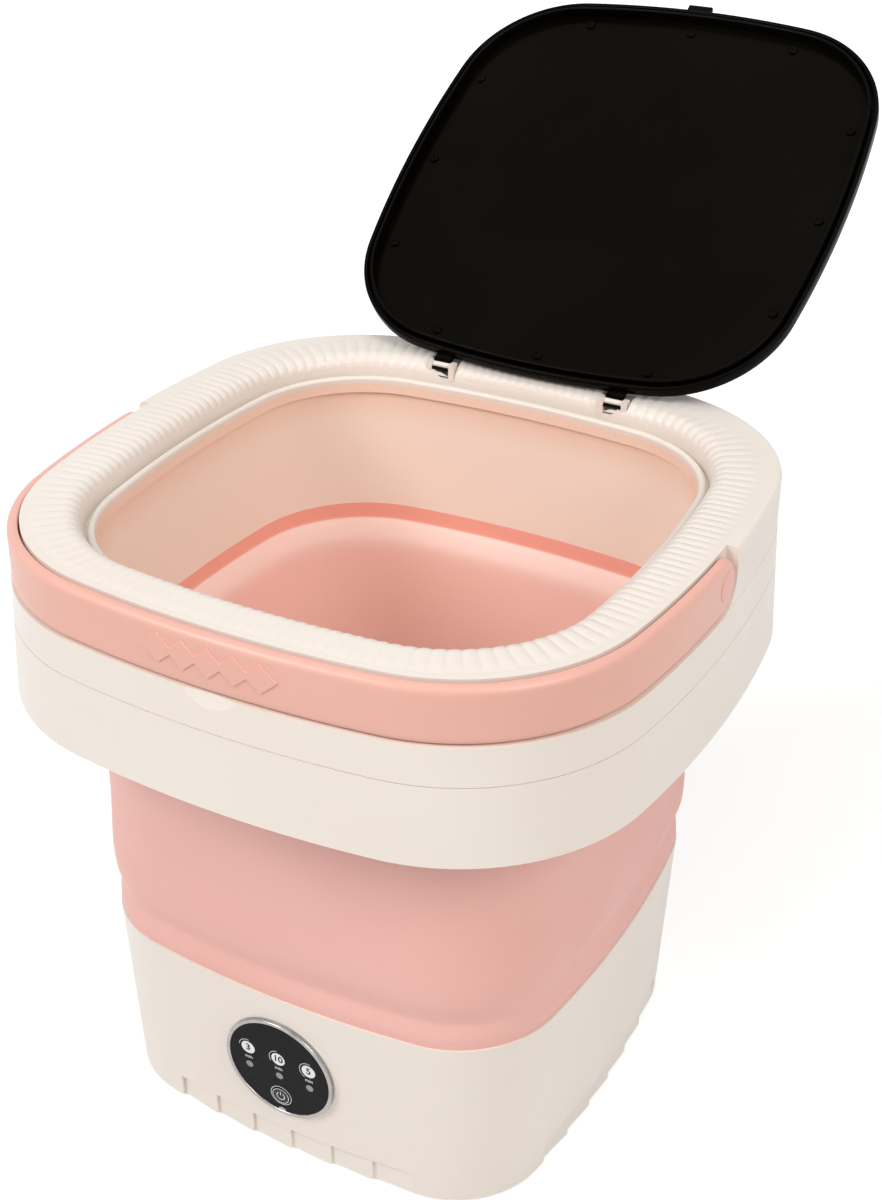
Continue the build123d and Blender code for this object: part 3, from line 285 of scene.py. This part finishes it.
mesh = bmesh.new()
for x, (start, end) in zip((-lens_apart, 0, lens_apart), ((80, 175), (95, 210), (75, 245))):
    print_ring(mesh, x, lens_up, arc_radius, arc_width, start, end, disc_print)
    print_words(mesh, "min", x, lens_up - min_down, min_size, min_weight, disc_print)
print_ring(mesh, 0, -key_down, outer_ring, ring_width, 0, 360, disc_print)
print_ring(mesh, 0, -key_down, inner_ring, ring_width, 0, 360, key_print)
print_ring(mesh, 0, -key_down, mark_radius, mark_width, 125, 415, key_print)
stroke = (Matrix.Translation((0, -key_down + (mark_foot + mark_top) / 2, key_print))
          @ Matrix.Diagonal((mark_width / 2, (mark_top - mark_foot) / 2, 1, 1)))
bmesh.ops.create_grid(mesh, x_segments=1, y_segments=1, size=1.0, matrix=stroke)
bmesh.ops.transform(mesh, matrix=panel_place, verts=mesh.verts)
finish_piece("panel_prints", mesh, lens_white, "base")

mesh = bmesh.new()
for x, text in ((-lens_apart, "3"), (0, "10"), (lens_apart, "5")):
    print_words(mesh, text, x, lens_up, number_size, number_weight, disc_print)
bmesh.ops.transform(mesh, matrix=panel_place, verts=mesh.verts)
finish_piece("panel_numbers", mesh, panel_black, "base")


# Inner wall: the upper part of the tub, hung from the rim cover by screws. It is moulded in peach plastic,
# with painted shade just below its bead, where the peach is darker, and the bead round the opening is cream
# like the rim.
peach, shader, place = new_material("peach", 0.4)
upright = place.node("ShaderNodeSeparateXYZ", "Z", {"Vector": place})
bead_height, shade_low, shade_high, tone_edge = 0.0034, 0.026, 0.006, 0.0003
peach_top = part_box("inner_wall")[1].z - bead_height
# Painted shade: the peach turns darker towards the bead, where the bead would shade the wall.
painted_bead_shade = upright.between(peach_top - shade_low, peach_top - shade_high)
wall_tone = blend_colours(painted_bead_shade, (0.98, 0.81, 0.70), (0.96, 0.71, 0.57))
bead_tone = blend_colours(noise(place, drift_scale, 3.0).between(0.3, 0.7), cream_low, cream_high)
on_bead = upright.between(peach_top - tone_edge, peach_top + tone_edge)
blend_colours(on_bead, wall_tone, bead_tone).feed(shader, "Base Color")
noise(place, patch_scale, 3.0).between(0.25, 0.75, 0.34, 0.46).feed(shader, "Roughness")
bump(noise(place, grain_scale), 0.05, grain_depth).feed(shader, "Normal")
dress(peach, "inner_wall")


# Bellows: the soft wall between base and housing, moulded in pink silicone, with a crease low down where it
# starts to fold and a ledge inside. Its flange is clamped under the inner wall and its bead in the base's
# top. Its outline changes from the base's to the opening's on the way up.
band_step, rim_width = 0.0012, 0.0374
housing_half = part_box("rim_cover")[1].x - band_step
opening_half = housing_half - rim_width
base_half, base_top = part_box("base_shell")[1].x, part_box("base_shell")[1].z
wall_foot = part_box("inner_wall")[0].z
side_bulge, opening_corner, base_corner = 0.540, 0.0627, 0.0545
bellows_length = wall_foot - base_top
columns = 320

pink_rubber = plastic("pink_rubber", (0.87, 0.47, 0.415), (0.89, 0.50, 0.445), 0.5, 0.1)
dress(pink_rubber, "bellows")
# The inside is a brighter copy of the outside pink as painted light. It is lighter still on the ledge as a
# painted highlight where the ledge faces up, and darker on the cuff under the inner wall as painted shade.
pink_inside_painted_light, shader, place = new_material("pink_inside_painted_light", 0.5)
upright = place.node("ShaderNodeSeparateXYZ", "Z", {"Vector": place})
cuff_foot, ledge_foot = wall_foot - 0.009, wall_foot - 0.024
painted_ledge_highlight = blend_colours(upright.between(ledge_foot - 0.006, ledge_foot + 0.008), (1.0, 0.63, 0.55),
                           (1.0, 0.74, 0.67))
painted_cuff_shade = upright.between(cuff_foot - tone_edge, cuff_foot + tone_edge)
blend_colours(painted_cuff_shade, painted_ledge_highlight, (1.0, 0.43, 0.34)).feed(shader, "Base Color")
bump(noise(place, grain_scale), 0.08, grain_depth).feed(shader, "Normal")

# Each form gives, at a share of the way up, how far the wall stands out past the base's outline.
outer_form = [(0.0, -0.0011), (0.045, -0.0005), (0.083, -0.0009), (0.116, -0.0014), (0.154, -0.0003),
              (0.206, 0.0013), (0.285, 0.0020), (0.375, 0.0017), (0.488, 0.0013), (0.638, 0.0014),
              (0.788, 0.0015), (0.855, 0.0017), (0.93, 0.0043), (0.98, 0.0043)]
inner_form = [(0.03, -0.0039), (0.116, -0.0042), (0.206, -0.0030), (0.4, -0.0034), (0.7, -0.0036),
              (0.80, -0.0035), (0.85, -0.0030), (0.895, -0.0010), (0.925, 0.0008), (0.932, 0.0015),
              (1.0, 0.0015)]
form_steps = 90
crease_share, crease_spread, crease_middle, crease_wave = 0.13, 0.10, 0.116, 0.3
crease_sway, crease_ripple, crease_lift = 0.0006, 0.0003, 0.0012
sway_turn, ripple_turn, lift_turn = 0.7, 0.5, 1.0


def outline_at(half, corner, bulge, share):
    """A point of a plan outline, a share of the way round from the middle of the right side, and the
    outward direction there. Four bulged sides join round corners, as in the solids."""
    side_offset = bulge - half
    reach = bulge - corner
    corner_at = (math.sqrt(2 * reach ** 2 - side_offset ** 2) - side_offset) / 2
    join = math.asin(corner_at / reach)
    side_run = bulge * join
    corner_run = corner * (math.pi / 2 - 2 * join)
    turn, rest = divmod(4 * share, 1.0)
    run = rest * (2 * side_run + corner_run)
    angle, centre, radius = run / bulge, Vector((-side_offset, 0, 0)), bulge
    if run > side_run + corner_run:
        angle = math.pi / 2 - join + (run - side_run - corner_run) / bulge
        centre = Vector((0, -side_offset, 0))
    elif run > side_run:
        angle = join + (run - side_run) / corner
        centre, radius = Vector((corner_at, corner_at, 0)), corner
    out = Vector((math.cos(angle), math.sin(angle), 0))
    spin = Matrix.Rotation(turn * math.pi / 2, 3, "Z")
    return spin @ (centre + radius * out), spin @ out


def curve_through(pairs, share):
    """The value at a share of a smooth curve through (share, value) pairs."""
    for index in range(len(pairs) - 1):
        (start, low), (end, high) = pairs[index], pairs[index + 1]
        if share <= end:
            before = pairs[max(index - 1, 0)]
            after = pairs[min(index + 2, len(pairs) - 1)]
            gap = end - start
            slope_in = (high - before[1]) / (end - before[0]) * gap
            slope_out = (after[1] - low) / (after[0] - start) * gap
            t = (share - start) / gap
            return (low * (2 * t ** 3 - 3 * t ** 2 + 1) + high * (3 * t ** 2 - 2 * t ** 3)
                    + slope_in * (t ** 3 - 2 * t ** 2 + t) + slope_out * (t ** 3 - t ** 2))
    return pairs[-1][1]


def loft(mesh, rows, closed=True):
    """Extrudes the first row's edges from row to row, and moves each new row to its own points. Gives the
    faces of each band."""
    ring = [mesh.verts.new(point) for point in rows[0]]
    after = ring[1:] + ring[:1] if closed else ring[1:]
    edges = [mesh.edges.new(pair) for pair in zip(ring, after)]
    bands = []
    for row in rows[1:]:
        made = bmesh.ops.extrude_edge_only(mesh, edges=edges)["geom"]
        fresh = {item for item in made if isinstance(item, bmesh.types.BMVert)}
        edges = [item for item in made
                 if isinstance(item, bmesh.types.BMEdge) and fresh.issuperset(item.verts)]
        bands.append([item for item in made if isinstance(item, bmesh.types.BMFace)])
        for index, point in enumerate(row):
            across = (edge.other_vert(ring[index]) for edge in ring[index].link_edges)
            ring[index] = next(vertex for vertex in across if vertex in fresh)
            ring[index].co = point
    return bands


def bellows_row(offset, height):
    share = min(1.0, max(0.0, (height - base_top) / bellows_length))
    half = base_half + share * (opening_half - base_half)
    corner = base_corner + share * (opening_corner - base_corner)
    shift = base_half + offset - half
    low_down = math.exp(-((share - crease_share) / crease_spread) ** 2)
    fade = math.cos(2 * math.pi * (share - crease_middle) / crease_wave)
    row = []
    for column in range(columns):
        point, out = outline_at(half, corner, side_bulge, column / columns)
        around = math.atan2(out.y, out.x)
        swing = (crease_sway * math.cos(around + sway_turn)
                 + crease_ripple * math.sin(3 * around + ripple_turn))
        lift = low_down * crease_lift * math.sin(2 * around + lift_turn)
        row.append(point + out * (shift - low_down * swing * fade) + Vector((0, 0, height + lift)))
    return row


flange_top, flange_height, flange_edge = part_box("bellows")[1].z, 0.0030, 0.0005
flange_out, collar_out, collar_in, ledge_out = 0.0140, 0.0069, 0.0060, 0.0041
collar_drop, collar_rise = 0.0003, 0.0010
foot_in, foot_height = -0.0085, 0.004
flange_foot = flange_top - flange_height
shares = [step / form_steps for step in range(form_steps + 1)]
line = [(foot_in, base_top)]
line += [(curve_through(outer_form, share), base_top + bellows_length * share) for share in shares[:-2]]
line += [(collar_in, wall_foot - collar_drop), (collar_out, wall_foot + collar_rise),
         (collar_out, flange_foot), (flange_out - flange_edge, flange_foot),
         (flange_out, flange_foot + flange_edge), (flange_out, flange_top), (ledge_out, flange_top),
         (ledge_out, wall_foot)]
outside_rows = len(line) - 2
line += [(curve_through(inner_form, share), base_top + bellows_length * share) for share in shares[:2:-1]]
line += [(foot_in, base_top + foot_height), (foot_in, base_top)]
rows = [bellows_row(offset, height) for offset, height in line]
mesh = bmesh.new()
for band in loft(mesh, rows)[outside_rows:]:
    for face in band:
        face.material_index = 1
bellows_skin = finish_piece("bellows_skin", mesh, pink_rubber, "base", 0.9)
bellows_skin.data.materials.append(pink_inside_painted_light)
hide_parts("bellows")
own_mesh(bellows_skin)


# Rim ribs: fine rounded flutes moulded across the top of the rim cover, from its inner shoulder nearly to
# the handle. They stop at the two hinge pockets and at the latch notch.
rim_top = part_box("handle")[1].z + 0.0009
shoulder_radius, shoulder_half = 0.008, opening_half + 0.0134
rib_count, rib_steps, rib_height, rib_lift = 168, 8, 0.0005, 0.00004
rib_start, rib_turn, flat_step, flat_steps, rise_rows, fall_rows = 14, 9, 0.00125, 13, 3, 4
flute_fullness, cut_margin = 0.7, 0.01
hinge_x, pocket_half, pocket_front, pocket_back = 0.4 * opening_half, 0.0084, 0.1264, 0.1367
notch_half, notch_depth = 0.0081, 0.1305

across = [(math.radians(angle), 0.0) for angle in range(rib_start, 90, rib_turn)]
across += [(math.pi / 2, flat_step * step) for step in range(flat_steps)]
rows = []
for index, (angle, run) in enumerate(across):
    level = min(1.0, index / rise_rows) * min(1.0, (len(across) - 1 - index) / fall_rows)
    row = []
    for column in range(rib_count * rib_steps):
        point, out = outline_at(opening_half, opening_corner, side_bulge, column / (rib_count * rib_steps))
        flute = math.sin(math.pi * (column % rib_steps) / rib_steps) ** flute_fullness
        rise = rib_lift + rib_height * level * flute
        reach = shoulder_half - opening_half - (shoulder_radius + rise) * math.cos(angle) + run
        height = rim_top - shoulder_radius + (shoulder_radius + rise) * math.sin(angle)
        row.append(point + out * reach + Vector((0, 0, height)))
    rows.append(row)
mesh = bmesh.new()
loft(mesh, rows)
cuts = [(side * hinge_x - pocket_half, side * hinge_x + pocket_half, pocket_front, pocket_back)
        for side in (-1, 1)]
cuts += [(-notch_half, notch_half, -notch_depth, -pocket_front)]
for left, right, front, back in cuts:
    for place, direction in (((left, 0, 0), (1, 0, 0)), ((right, 0, 0), (1, 0, 0)),
                             ((0, front, 0), (0, 1, 0)), ((0, back, 0), (0, 1, 0))):
        near = [face for face in mesh.faces
                if left - cut_margin < face.calc_center_median().x < right + cut_margin
                and front - cut_margin < face.calc_center_median().y < back + cut_margin]
        around = set(near)
        for face in near:
            around.update(face.edges, face.verts)
        bmesh.ops.bisect_plane(mesh, geom=list(around), dist=0.00001, plane_co=place, plane_no=direction)
    inside = [face for face in mesh.faces if left < face.calc_center_median().x < right
              and front < face.calc_center_median().y < back]
    bmesh.ops.delete(mesh, geom=inside, context="FACES")
finish_piece("rim_ribs", mesh, cream, "housing", 1.2)


# Handle: a carrying bail moulded in pink plastic, wrapped round the housing's front half. It has soft edges
# and round ends, and turns up on a screw and a washer at each end. Every ring of it is a stadium about one
# middle line, so the same rings make its faces, its edges and its ends.
pink = plastic("pink", (0.83, 0.445, 0.36), (0.85, 0.47, 0.385), 0.38)
dress(pink, "handle")
housing_corner = 0.0935
handle_low, handle_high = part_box("handle")
handle_radius, handle_middle = (handle_high.z - handle_low.z) / 2, (handle_high.z + handle_low.z) / 2
pivot_y = handle_high.y - handle_radius
handle_lift, handle_thickness, edge_radius, back_radius = 0.0002, 0.005, 0.0034, 0.0007
front_inset, back_inset = 0.005, 0.004
arm_steps, end_steps = 180, 24


def outline_length(half, corner, bulge):
    side_offset = bulge - half
    reach = bulge - corner
    corner_at = (math.sqrt(2 * reach ** 2 - side_offset ** 2) - side_offset) / 2
    join = math.asin(corner_at / reach)
    return 8 * bulge * join + 4 * corner * (math.pi / 2 - 2 * join)


housing_run = outline_length(housing_half, housing_corner, side_bulge)
arm_run = housing_run / 4 + pivot_y


def on_handle(along, height, depth):
    """A point a distance along from the front's middle, a height above the middle line and a depth in."""
    point, out = outline_at(housing_half, housing_corner, side_bulge, 0.75 + along / housing_run)
    return point - out * (depth + handle_lift) + Vector((0, 0, handle_middle + height))


def handle_ring(radius, depth):
    row = []
    for side in (1, -1):
        row += [on_handle(side * arm_run * (2 * step / arm_steps - 1), -side * radius, depth)
                for step in range(arm_steps)]
        for step in range(end_steps):
            turn = math.pi * step / end_steps
            along = side * (arm_run + radius * math.sin(turn))
            row.append(on_handle(along, -side * radius * math.cos(turn), depth))
    return row


def quarter_round(radius, steps):
    """The two legs of a rounded edge, from flush with one face to flush with the other."""
    turns = [math.pi / 2 * step / steps for step in range(steps + 1)]
    return [(radius * (1 - math.sin(turn)), radius * (1 - math.cos(turn))) for turn in turns]


rings = [(0.0, 0.0), (handle_radius - front_inset, 0.0)]
rings += [(handle_radius - inward, depth) for inward, depth in quarter_round(edge_radius, 6)]
rings += [(handle_radius - inward, handle_thickness - rise)
          for inward, rise in reversed(quarter_round(back_radius, 3))]
rings += [(handle_radius - back_inset, handle_thickness), (0.0, handle_thickness)]
mesh = bmesh.new()
loft(mesh, [handle_ring(radius, depth) for radius, depth in rings])
handle_skin = finish_piece("handle_skin", mesh, pink, "handle", 1.2)
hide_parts("handle")


# Handle marks: a row of five overlapping diamonds, raised a little in the same moulding at the middle of
# the front, where fingers lift it.
diamond_pitch, diamond_half, diamond_height = 0.0125, 0.0082, 0.0072
diamond_lift, diamond_rise, diamond_edge, sunk, diamond_steps = 0.0014, 0.0008, 0.0004, 0.0002, 66
marks_half = 2 * diamond_pitch + diamond_half
rows = []
for step in range(-diamond_steps, diamond_steps + 1):
    along = marks_half * step / diamond_steps
    nearest = min(abs(along - diamond_pitch * turn) for turn in (-2, -1, 0, 1, 2))
    reach = max(0.0, diamond_height * (1 - nearest / diamond_half))
    shoulder = min(reach, diamond_edge)
    rise = diamond_rise * shoulder / diamond_edge
    rows.append([on_handle(along, diamond_lift + height, -depth) for height, depth in (
        (-reach - sunk / 2, -sunk), (-reach + 0.3 * shoulder, 0.8 * rise), (-reach + shoulder, rise),
        (reach - shoulder, rise), (reach - 0.3 * shoulder, 0.8 * rise), (reach + sunk / 2, -sunk))])
mesh = bmesh.new()
loft(mesh, rows, closed=False)
finish_piece("handle_marks", mesh, pink, "handle", 0.5)


# Handle pads: a low round boss at each end of the handle, over the pivot, raised in the same moulding.
# It follows the bend of the housing's side.
pad_radius, pad_rise, pad_shift, pad_lift, pad_flat = 0.0075, 0.0005, 0.0025, 0.0012, 0.003
pad_draft, pad_edge, pad_steps = 0.0001, 0.0006, 48
pad_rings = [(pad_radius, sunk), (pad_radius - pad_draft, -0.7 * pad_rise),
             (pad_radius - pad_edge, -pad_rise), (pad_flat, -pad_rise), (0.0, -pad_rise)]
turns = [2 * math.pi * step / pad_steps for step in range(pad_steps)]
mesh = bmesh.new()
for side in (-1, 1):
    centre = side * (arm_run + pad_shift)
    loft(mesh, [[on_handle(centre + radius * math.cos(turn), pad_lift + radius * math.sin(turn), depth)
                 for turn in turns] for radius, depth in pad_rings])
finish_piece("handle_pads", mesh, pink, "handle", 0.9)


# Lid: a shallow tray moulded in black gloss plastic, with rounded rims and a lip, twelve round pads and a
# latch tab under it. Two C-shaped hooks behind snap on the rim cover's loops, and the lid turns on them.
# It is drawn closed and then turned to where it stands open.
black = plastic("black", (0.002, 0.0015, 0.001), (0.003, 0.0025, 0.002), 0.2, 0.01, 0.03)
dress(black, "lid")
lid_half, lid_skirt = opening_half + 0.0026, 0.0024
lip_half, lip_wall, lip_drop = opening_half - 0.0014, 0.0016, 0.001
lid_top, lid_foot, plate_foot = rim_top, rim_top - 0.0078, rim_top - 0.0028
top_round, foot_round, lip_round, flat_inset = 0.0024, 0.0010, 0.00075, 0.02
lid_columns, middle_half, open_angle = 240, 0.06, math.radians(146.4)
hinge_back, hinge_drop = 0.003, 0.0008
hinge = Vector((0, lid_half + hinge_back, rim_top - hinge_drop))


def hanging_wall(half, wall, foot, radius):
    """A wall under the lid's plate, with a rounded foot: down its outer side and up its inner side."""
    legs = quarter_round(radius, 3)
    outer = [(half - inward, foot + rise) for inward, rise in reversed(legs)]
    inner = [(half - wall + inward, foot + rise) for inward, rise in legs]
    return outer + inner


profile = [(0.0, lid_top), (lid_half - flat_inset, lid_top)]
profile += [(lid_half - inward, lid_top - down) for inward, down in quarter_round(top_round, 6)]
profile += hanging_wall(lid_half, lid_skirt, lid_foot, foot_round)
profile += [(lid_half - lid_skirt, plate_foot), (lip_half, plate_foot)]
profile += hanging_wall(lip_half, lip_wall, lid_foot - lip_drop, lip_round)
profile += [(lip_half - lip_wall, plate_foot), (lip_half - flat_inset, plate_foot), (0.0, plate_foot)]
rows = []
for half, height in profile:
    row = []
    for column in range(lid_columns):
        point, out = outline_at(opening_half, opening_corner, side_bulge, column / lid_columns)
        place = point + out * (half - opening_half) if half > middle_half else Vector((0, 0, 0))
        row.append(place + Vector((0, 0, height)))
    rows.append(row)
mesh = bmesh.new()
loft(mesh, rows)

lid_pad_radius, lid_pad_drop, lid_pad_edge, lid_pad_steps = 0.0026, 0.0012, 0.0003, 32
dimple_outer, dimple_inner = 0.45 * lid_pad_radius, 0.4 * lid_pad_radius
middle_inset, outer_inset = 0.0132, 0.0162
pad_foot, pad_offset = plate_foot - lid_pad_drop, 0.48 * lid_half
pad_line = [(lid_pad_radius, plate_foot), (lid_pad_radius, pad_foot + lid_pad_edge),
            (lid_pad_radius - lid_pad_edge, pad_foot), (dimple_outer, pad_foot),
            (dimple_inner, pad_foot + lid_pad_edge), (0.0, pad_foot + lid_pad_edge)]
for turn in range(4):
    for x, inset in ((0, middle_inset), (pad_offset, outer_inset), (-pad_offset, outer_inset)):
        spot = Matrix.Rotation(turn * math.pi / 2, 3, "Z") @ Vector((x, inset - lid_half, 0))
        line = [spot + Vector((radius, 0, height)) for radius, height in pad_line]
        turn_line(mesh, line, spot, (0, 0, 1), 2 * math.pi, lid_pad_steps)


def soft_block(mesh, low, high, radius, segments):
    """A block between two corners, with its edges rounded."""
    size = high - low
    place = Matrix.Translation((low + high) / 2) @ Matrix.Diagonal((*size, 1))
    made = bmesh.ops.create_cube(mesh, size=1.0, matrix=place)["verts"]
    edges = list({edge for vertex in made for edge in vertex.link_edges})
    bmesh.ops.bevel(mesh, geom=edges, offset=radius, segments=segments, profile=0.5, affect="EDGES",
                    material=-1)


tab_half, tab_reach, tab_root, tab_low, tab_high, tab_edge = 0.007, 0.0042, 0.0012, 0.001, 0.0038, 0.0006
soft_block(mesh, Vector((-tab_half, -lid_half - tab_reach, lid_foot + tab_low)),
           Vector((tab_half, tab_root - lid_half, lid_foot + tab_high)), tab_edge, 3)

hook_outer, hook_bore, hook_half = 0.0033, 0.00168, 0.0046
arm_root, arm_rise, arm_edge = 0.0072, 0.0008, 0.0003
hook_start, hook_sweep, hook_steps = math.radians(351), math.radians(250), 24
hook_out = Vector((0, math.cos(hook_start), math.sin(hook_start)))
for x in (-hinge_x, hinge_x):
    middle = hinge + Vector((x, 0, 0))
    corners = [mesh.verts.new(middle + radius * hook_out + Vector((side * hook_half, 0, 0)))
               for radius, side in ((hook_outer, -1), (hook_outer, 1), (hook_bore, 1), (hook_bore, -1))]
    root = [mesh.edges.new(pair) for pair in zip(corners, corners[1:] + corners[:1])]
    spun = bmesh.ops.spin(mesh, geom=corners + root, cent=middle, axis=(1, 0, 0), angle=hook_sweep,
                          steps=hook_steps)
    tip = [item for item in spun["geom_last"] if isinstance(item, bmesh.types.BMEdge)]
    bmesh.ops.holes_fill(mesh, edges=root + tip, sides=4)
    soft_block(mesh, Vector((x - hook_half, lid_half - arm_root, hinge.z - hook_outer + arm_rise)),
               Vector((x + hook_half, hinge.y - hook_bore, hinge.z + arm_rise)), arm_edge, 2)
opened = Matrix.Translation(hinge) @ Matrix.Rotation(-open_angle, 4, "X") @ Matrix.Translation(-hinge)
bmesh.ops.transform(mesh, matrix=opened, verts=mesh.verts)
lid_shell = finish_piece("lid_shell", mesh, black, "lid", 0.7)
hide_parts("lid")


# Camera: stands where the photograph was taken from, to the right of the front and above it. Its focal
# length and its place were fitted to the photograph's outline.
azimuth, elevation, roll = math.radians(29.66), math.radians(30.14), math.radians(-0.31)
distance, aim_height = 0.90646, 0.25643
sensor_size, focal_pixels, photo_height_pixels = 36.0, 1891.23, 1200.0
back = Vector((math.sin(azimuth) * math.cos(elevation), -math.cos(azimuth) * math.cos(elevation),
               math.sin(elevation)))
camera = bpy.data.objects.new("camera", bpy.data.cameras.new("camera"))
bpy.context.scene.collection.objects.link(camera)
camera.matrix_world = (Matrix.Translation(Vector((0, 0, aim_height)) + back * distance)
                       @ back.to_track_quat("Z", "Y").to_matrix().to_4x4() @ Matrix.Rotation(roll, 4, "Z"))
camera.data.sensor_width = sensor_size
camera.data.lens = sensor_size * focal_pixels / photo_height_pixels
camera.data.shift_x = 0.0312
camera.data.clip_start = 0.02
bpy.context.scene.camera = camera


# Floor: a wide matt white sheet under the machine. It keeps the machine's shadow, and seen straight or in a
# reflection it is lifted to white, a little more far away, where the lamps reach it less.
floor_half, floor_near, floor_far = 6.0, 0.5, 2.0
near_lift, far_lift = 0.52, 0.35
mesh = bmesh.new()
bmesh.ops.create_grid(mesh, x_segments=1, y_segments=1, size=floor_half)
floor_data = bpy.data.meshes.new("floor")
mesh.to_mesh(floor_data)
mesh.free()
floor = bpy.data.objects.new("floor", floor_data)
bpy.context.scene.collection.objects.link(floor)
floor_white, shader, place = new_material("floor", 0.9, 0.0, 0.0)
floor_data.materials.append(floor_white)
shader.inputs["Base Color"].default_value = (0.74, 0.74, 0.74, 1)
shader.inputs["Emission Strength"].default_value = 1.0


def seen_rays(tree):
    """1 for what the camera sees, straight, in a reflection or through something clear, and 0 for light."""
    rays = tree.nodes.new("ShaderNodeLightPath").outputs
    camera_ray, glossy_ray, clear_ray = (Shade(tree, rays[name]) for name in (
        "Is Camera Ray", "Is Glossy Ray", "Is Transmission Ray"))
    seen = camera_ray + glossy_ray + clear_ray
    return seen.math("MINIMUM", seen, 1.0)


away = place.node("ShaderNodeVectorMath", "Value", {0: place}, operation="LENGTH")
lift = near_lift + far_lift * away.between(floor_near, floor_far)
lifted = seen_rays(floor_white.node_tree) * lift
blend_colours(lifted, (0, 0, 0), (1, 1, 1)).feed(shader, "Emission Color")


# Studio: an even white backdrop that lights the machine a little, a large soft lamp to the left of the
# camera, a slightly warmer one to the right, and a weak one overhead that reaches into the tub.
studio_light = 0.41
lamp_aim = Vector((0, 0, 0.2))
world = bpy.data.worlds.new("studio")
bpy.context.scene.world = world
world.use_nodes = True
backdrop = world.node_tree.nodes["Background"]
backdrop.inputs["Color"].default_value = (1, 1, 1, 1)
(seen_rays(world.node_tree) * (1 - studio_light) + studio_light).feed(backdrop, "Strength")
bpy.context.scene.view_settings.view_transform = "Standard"


def lamp(name, place, size, power, colour=(1, 1, 1)):
    """A round soft lamp aimed at the machine's middle."""
    data = bpy.data.lights.new(name, "AREA")
    data.color = colour
    data.shape = "DISK"
    data.size = size
    data.energy = power
    place = Vector(place)
    made = bpy.data.objects.new(name, data)
    towards = (place - lamp_aim).to_track_quat("Z", "Y").to_matrix().to_4x4()
    made.matrix_world = Matrix.Translation(place) @ towards
    bpy.context.scene.collection.objects.link(made)


lamp("key", (-1.1, -1.7, 1.9), 1.2, 30.5)
lamp("top", (0.2, -0.2, 2.2), 1.6, 6.0)
lamp("fill", (1.85, -0.72, 1.9), 1.2, 23.0, (1.0, 0.96, 0.92))
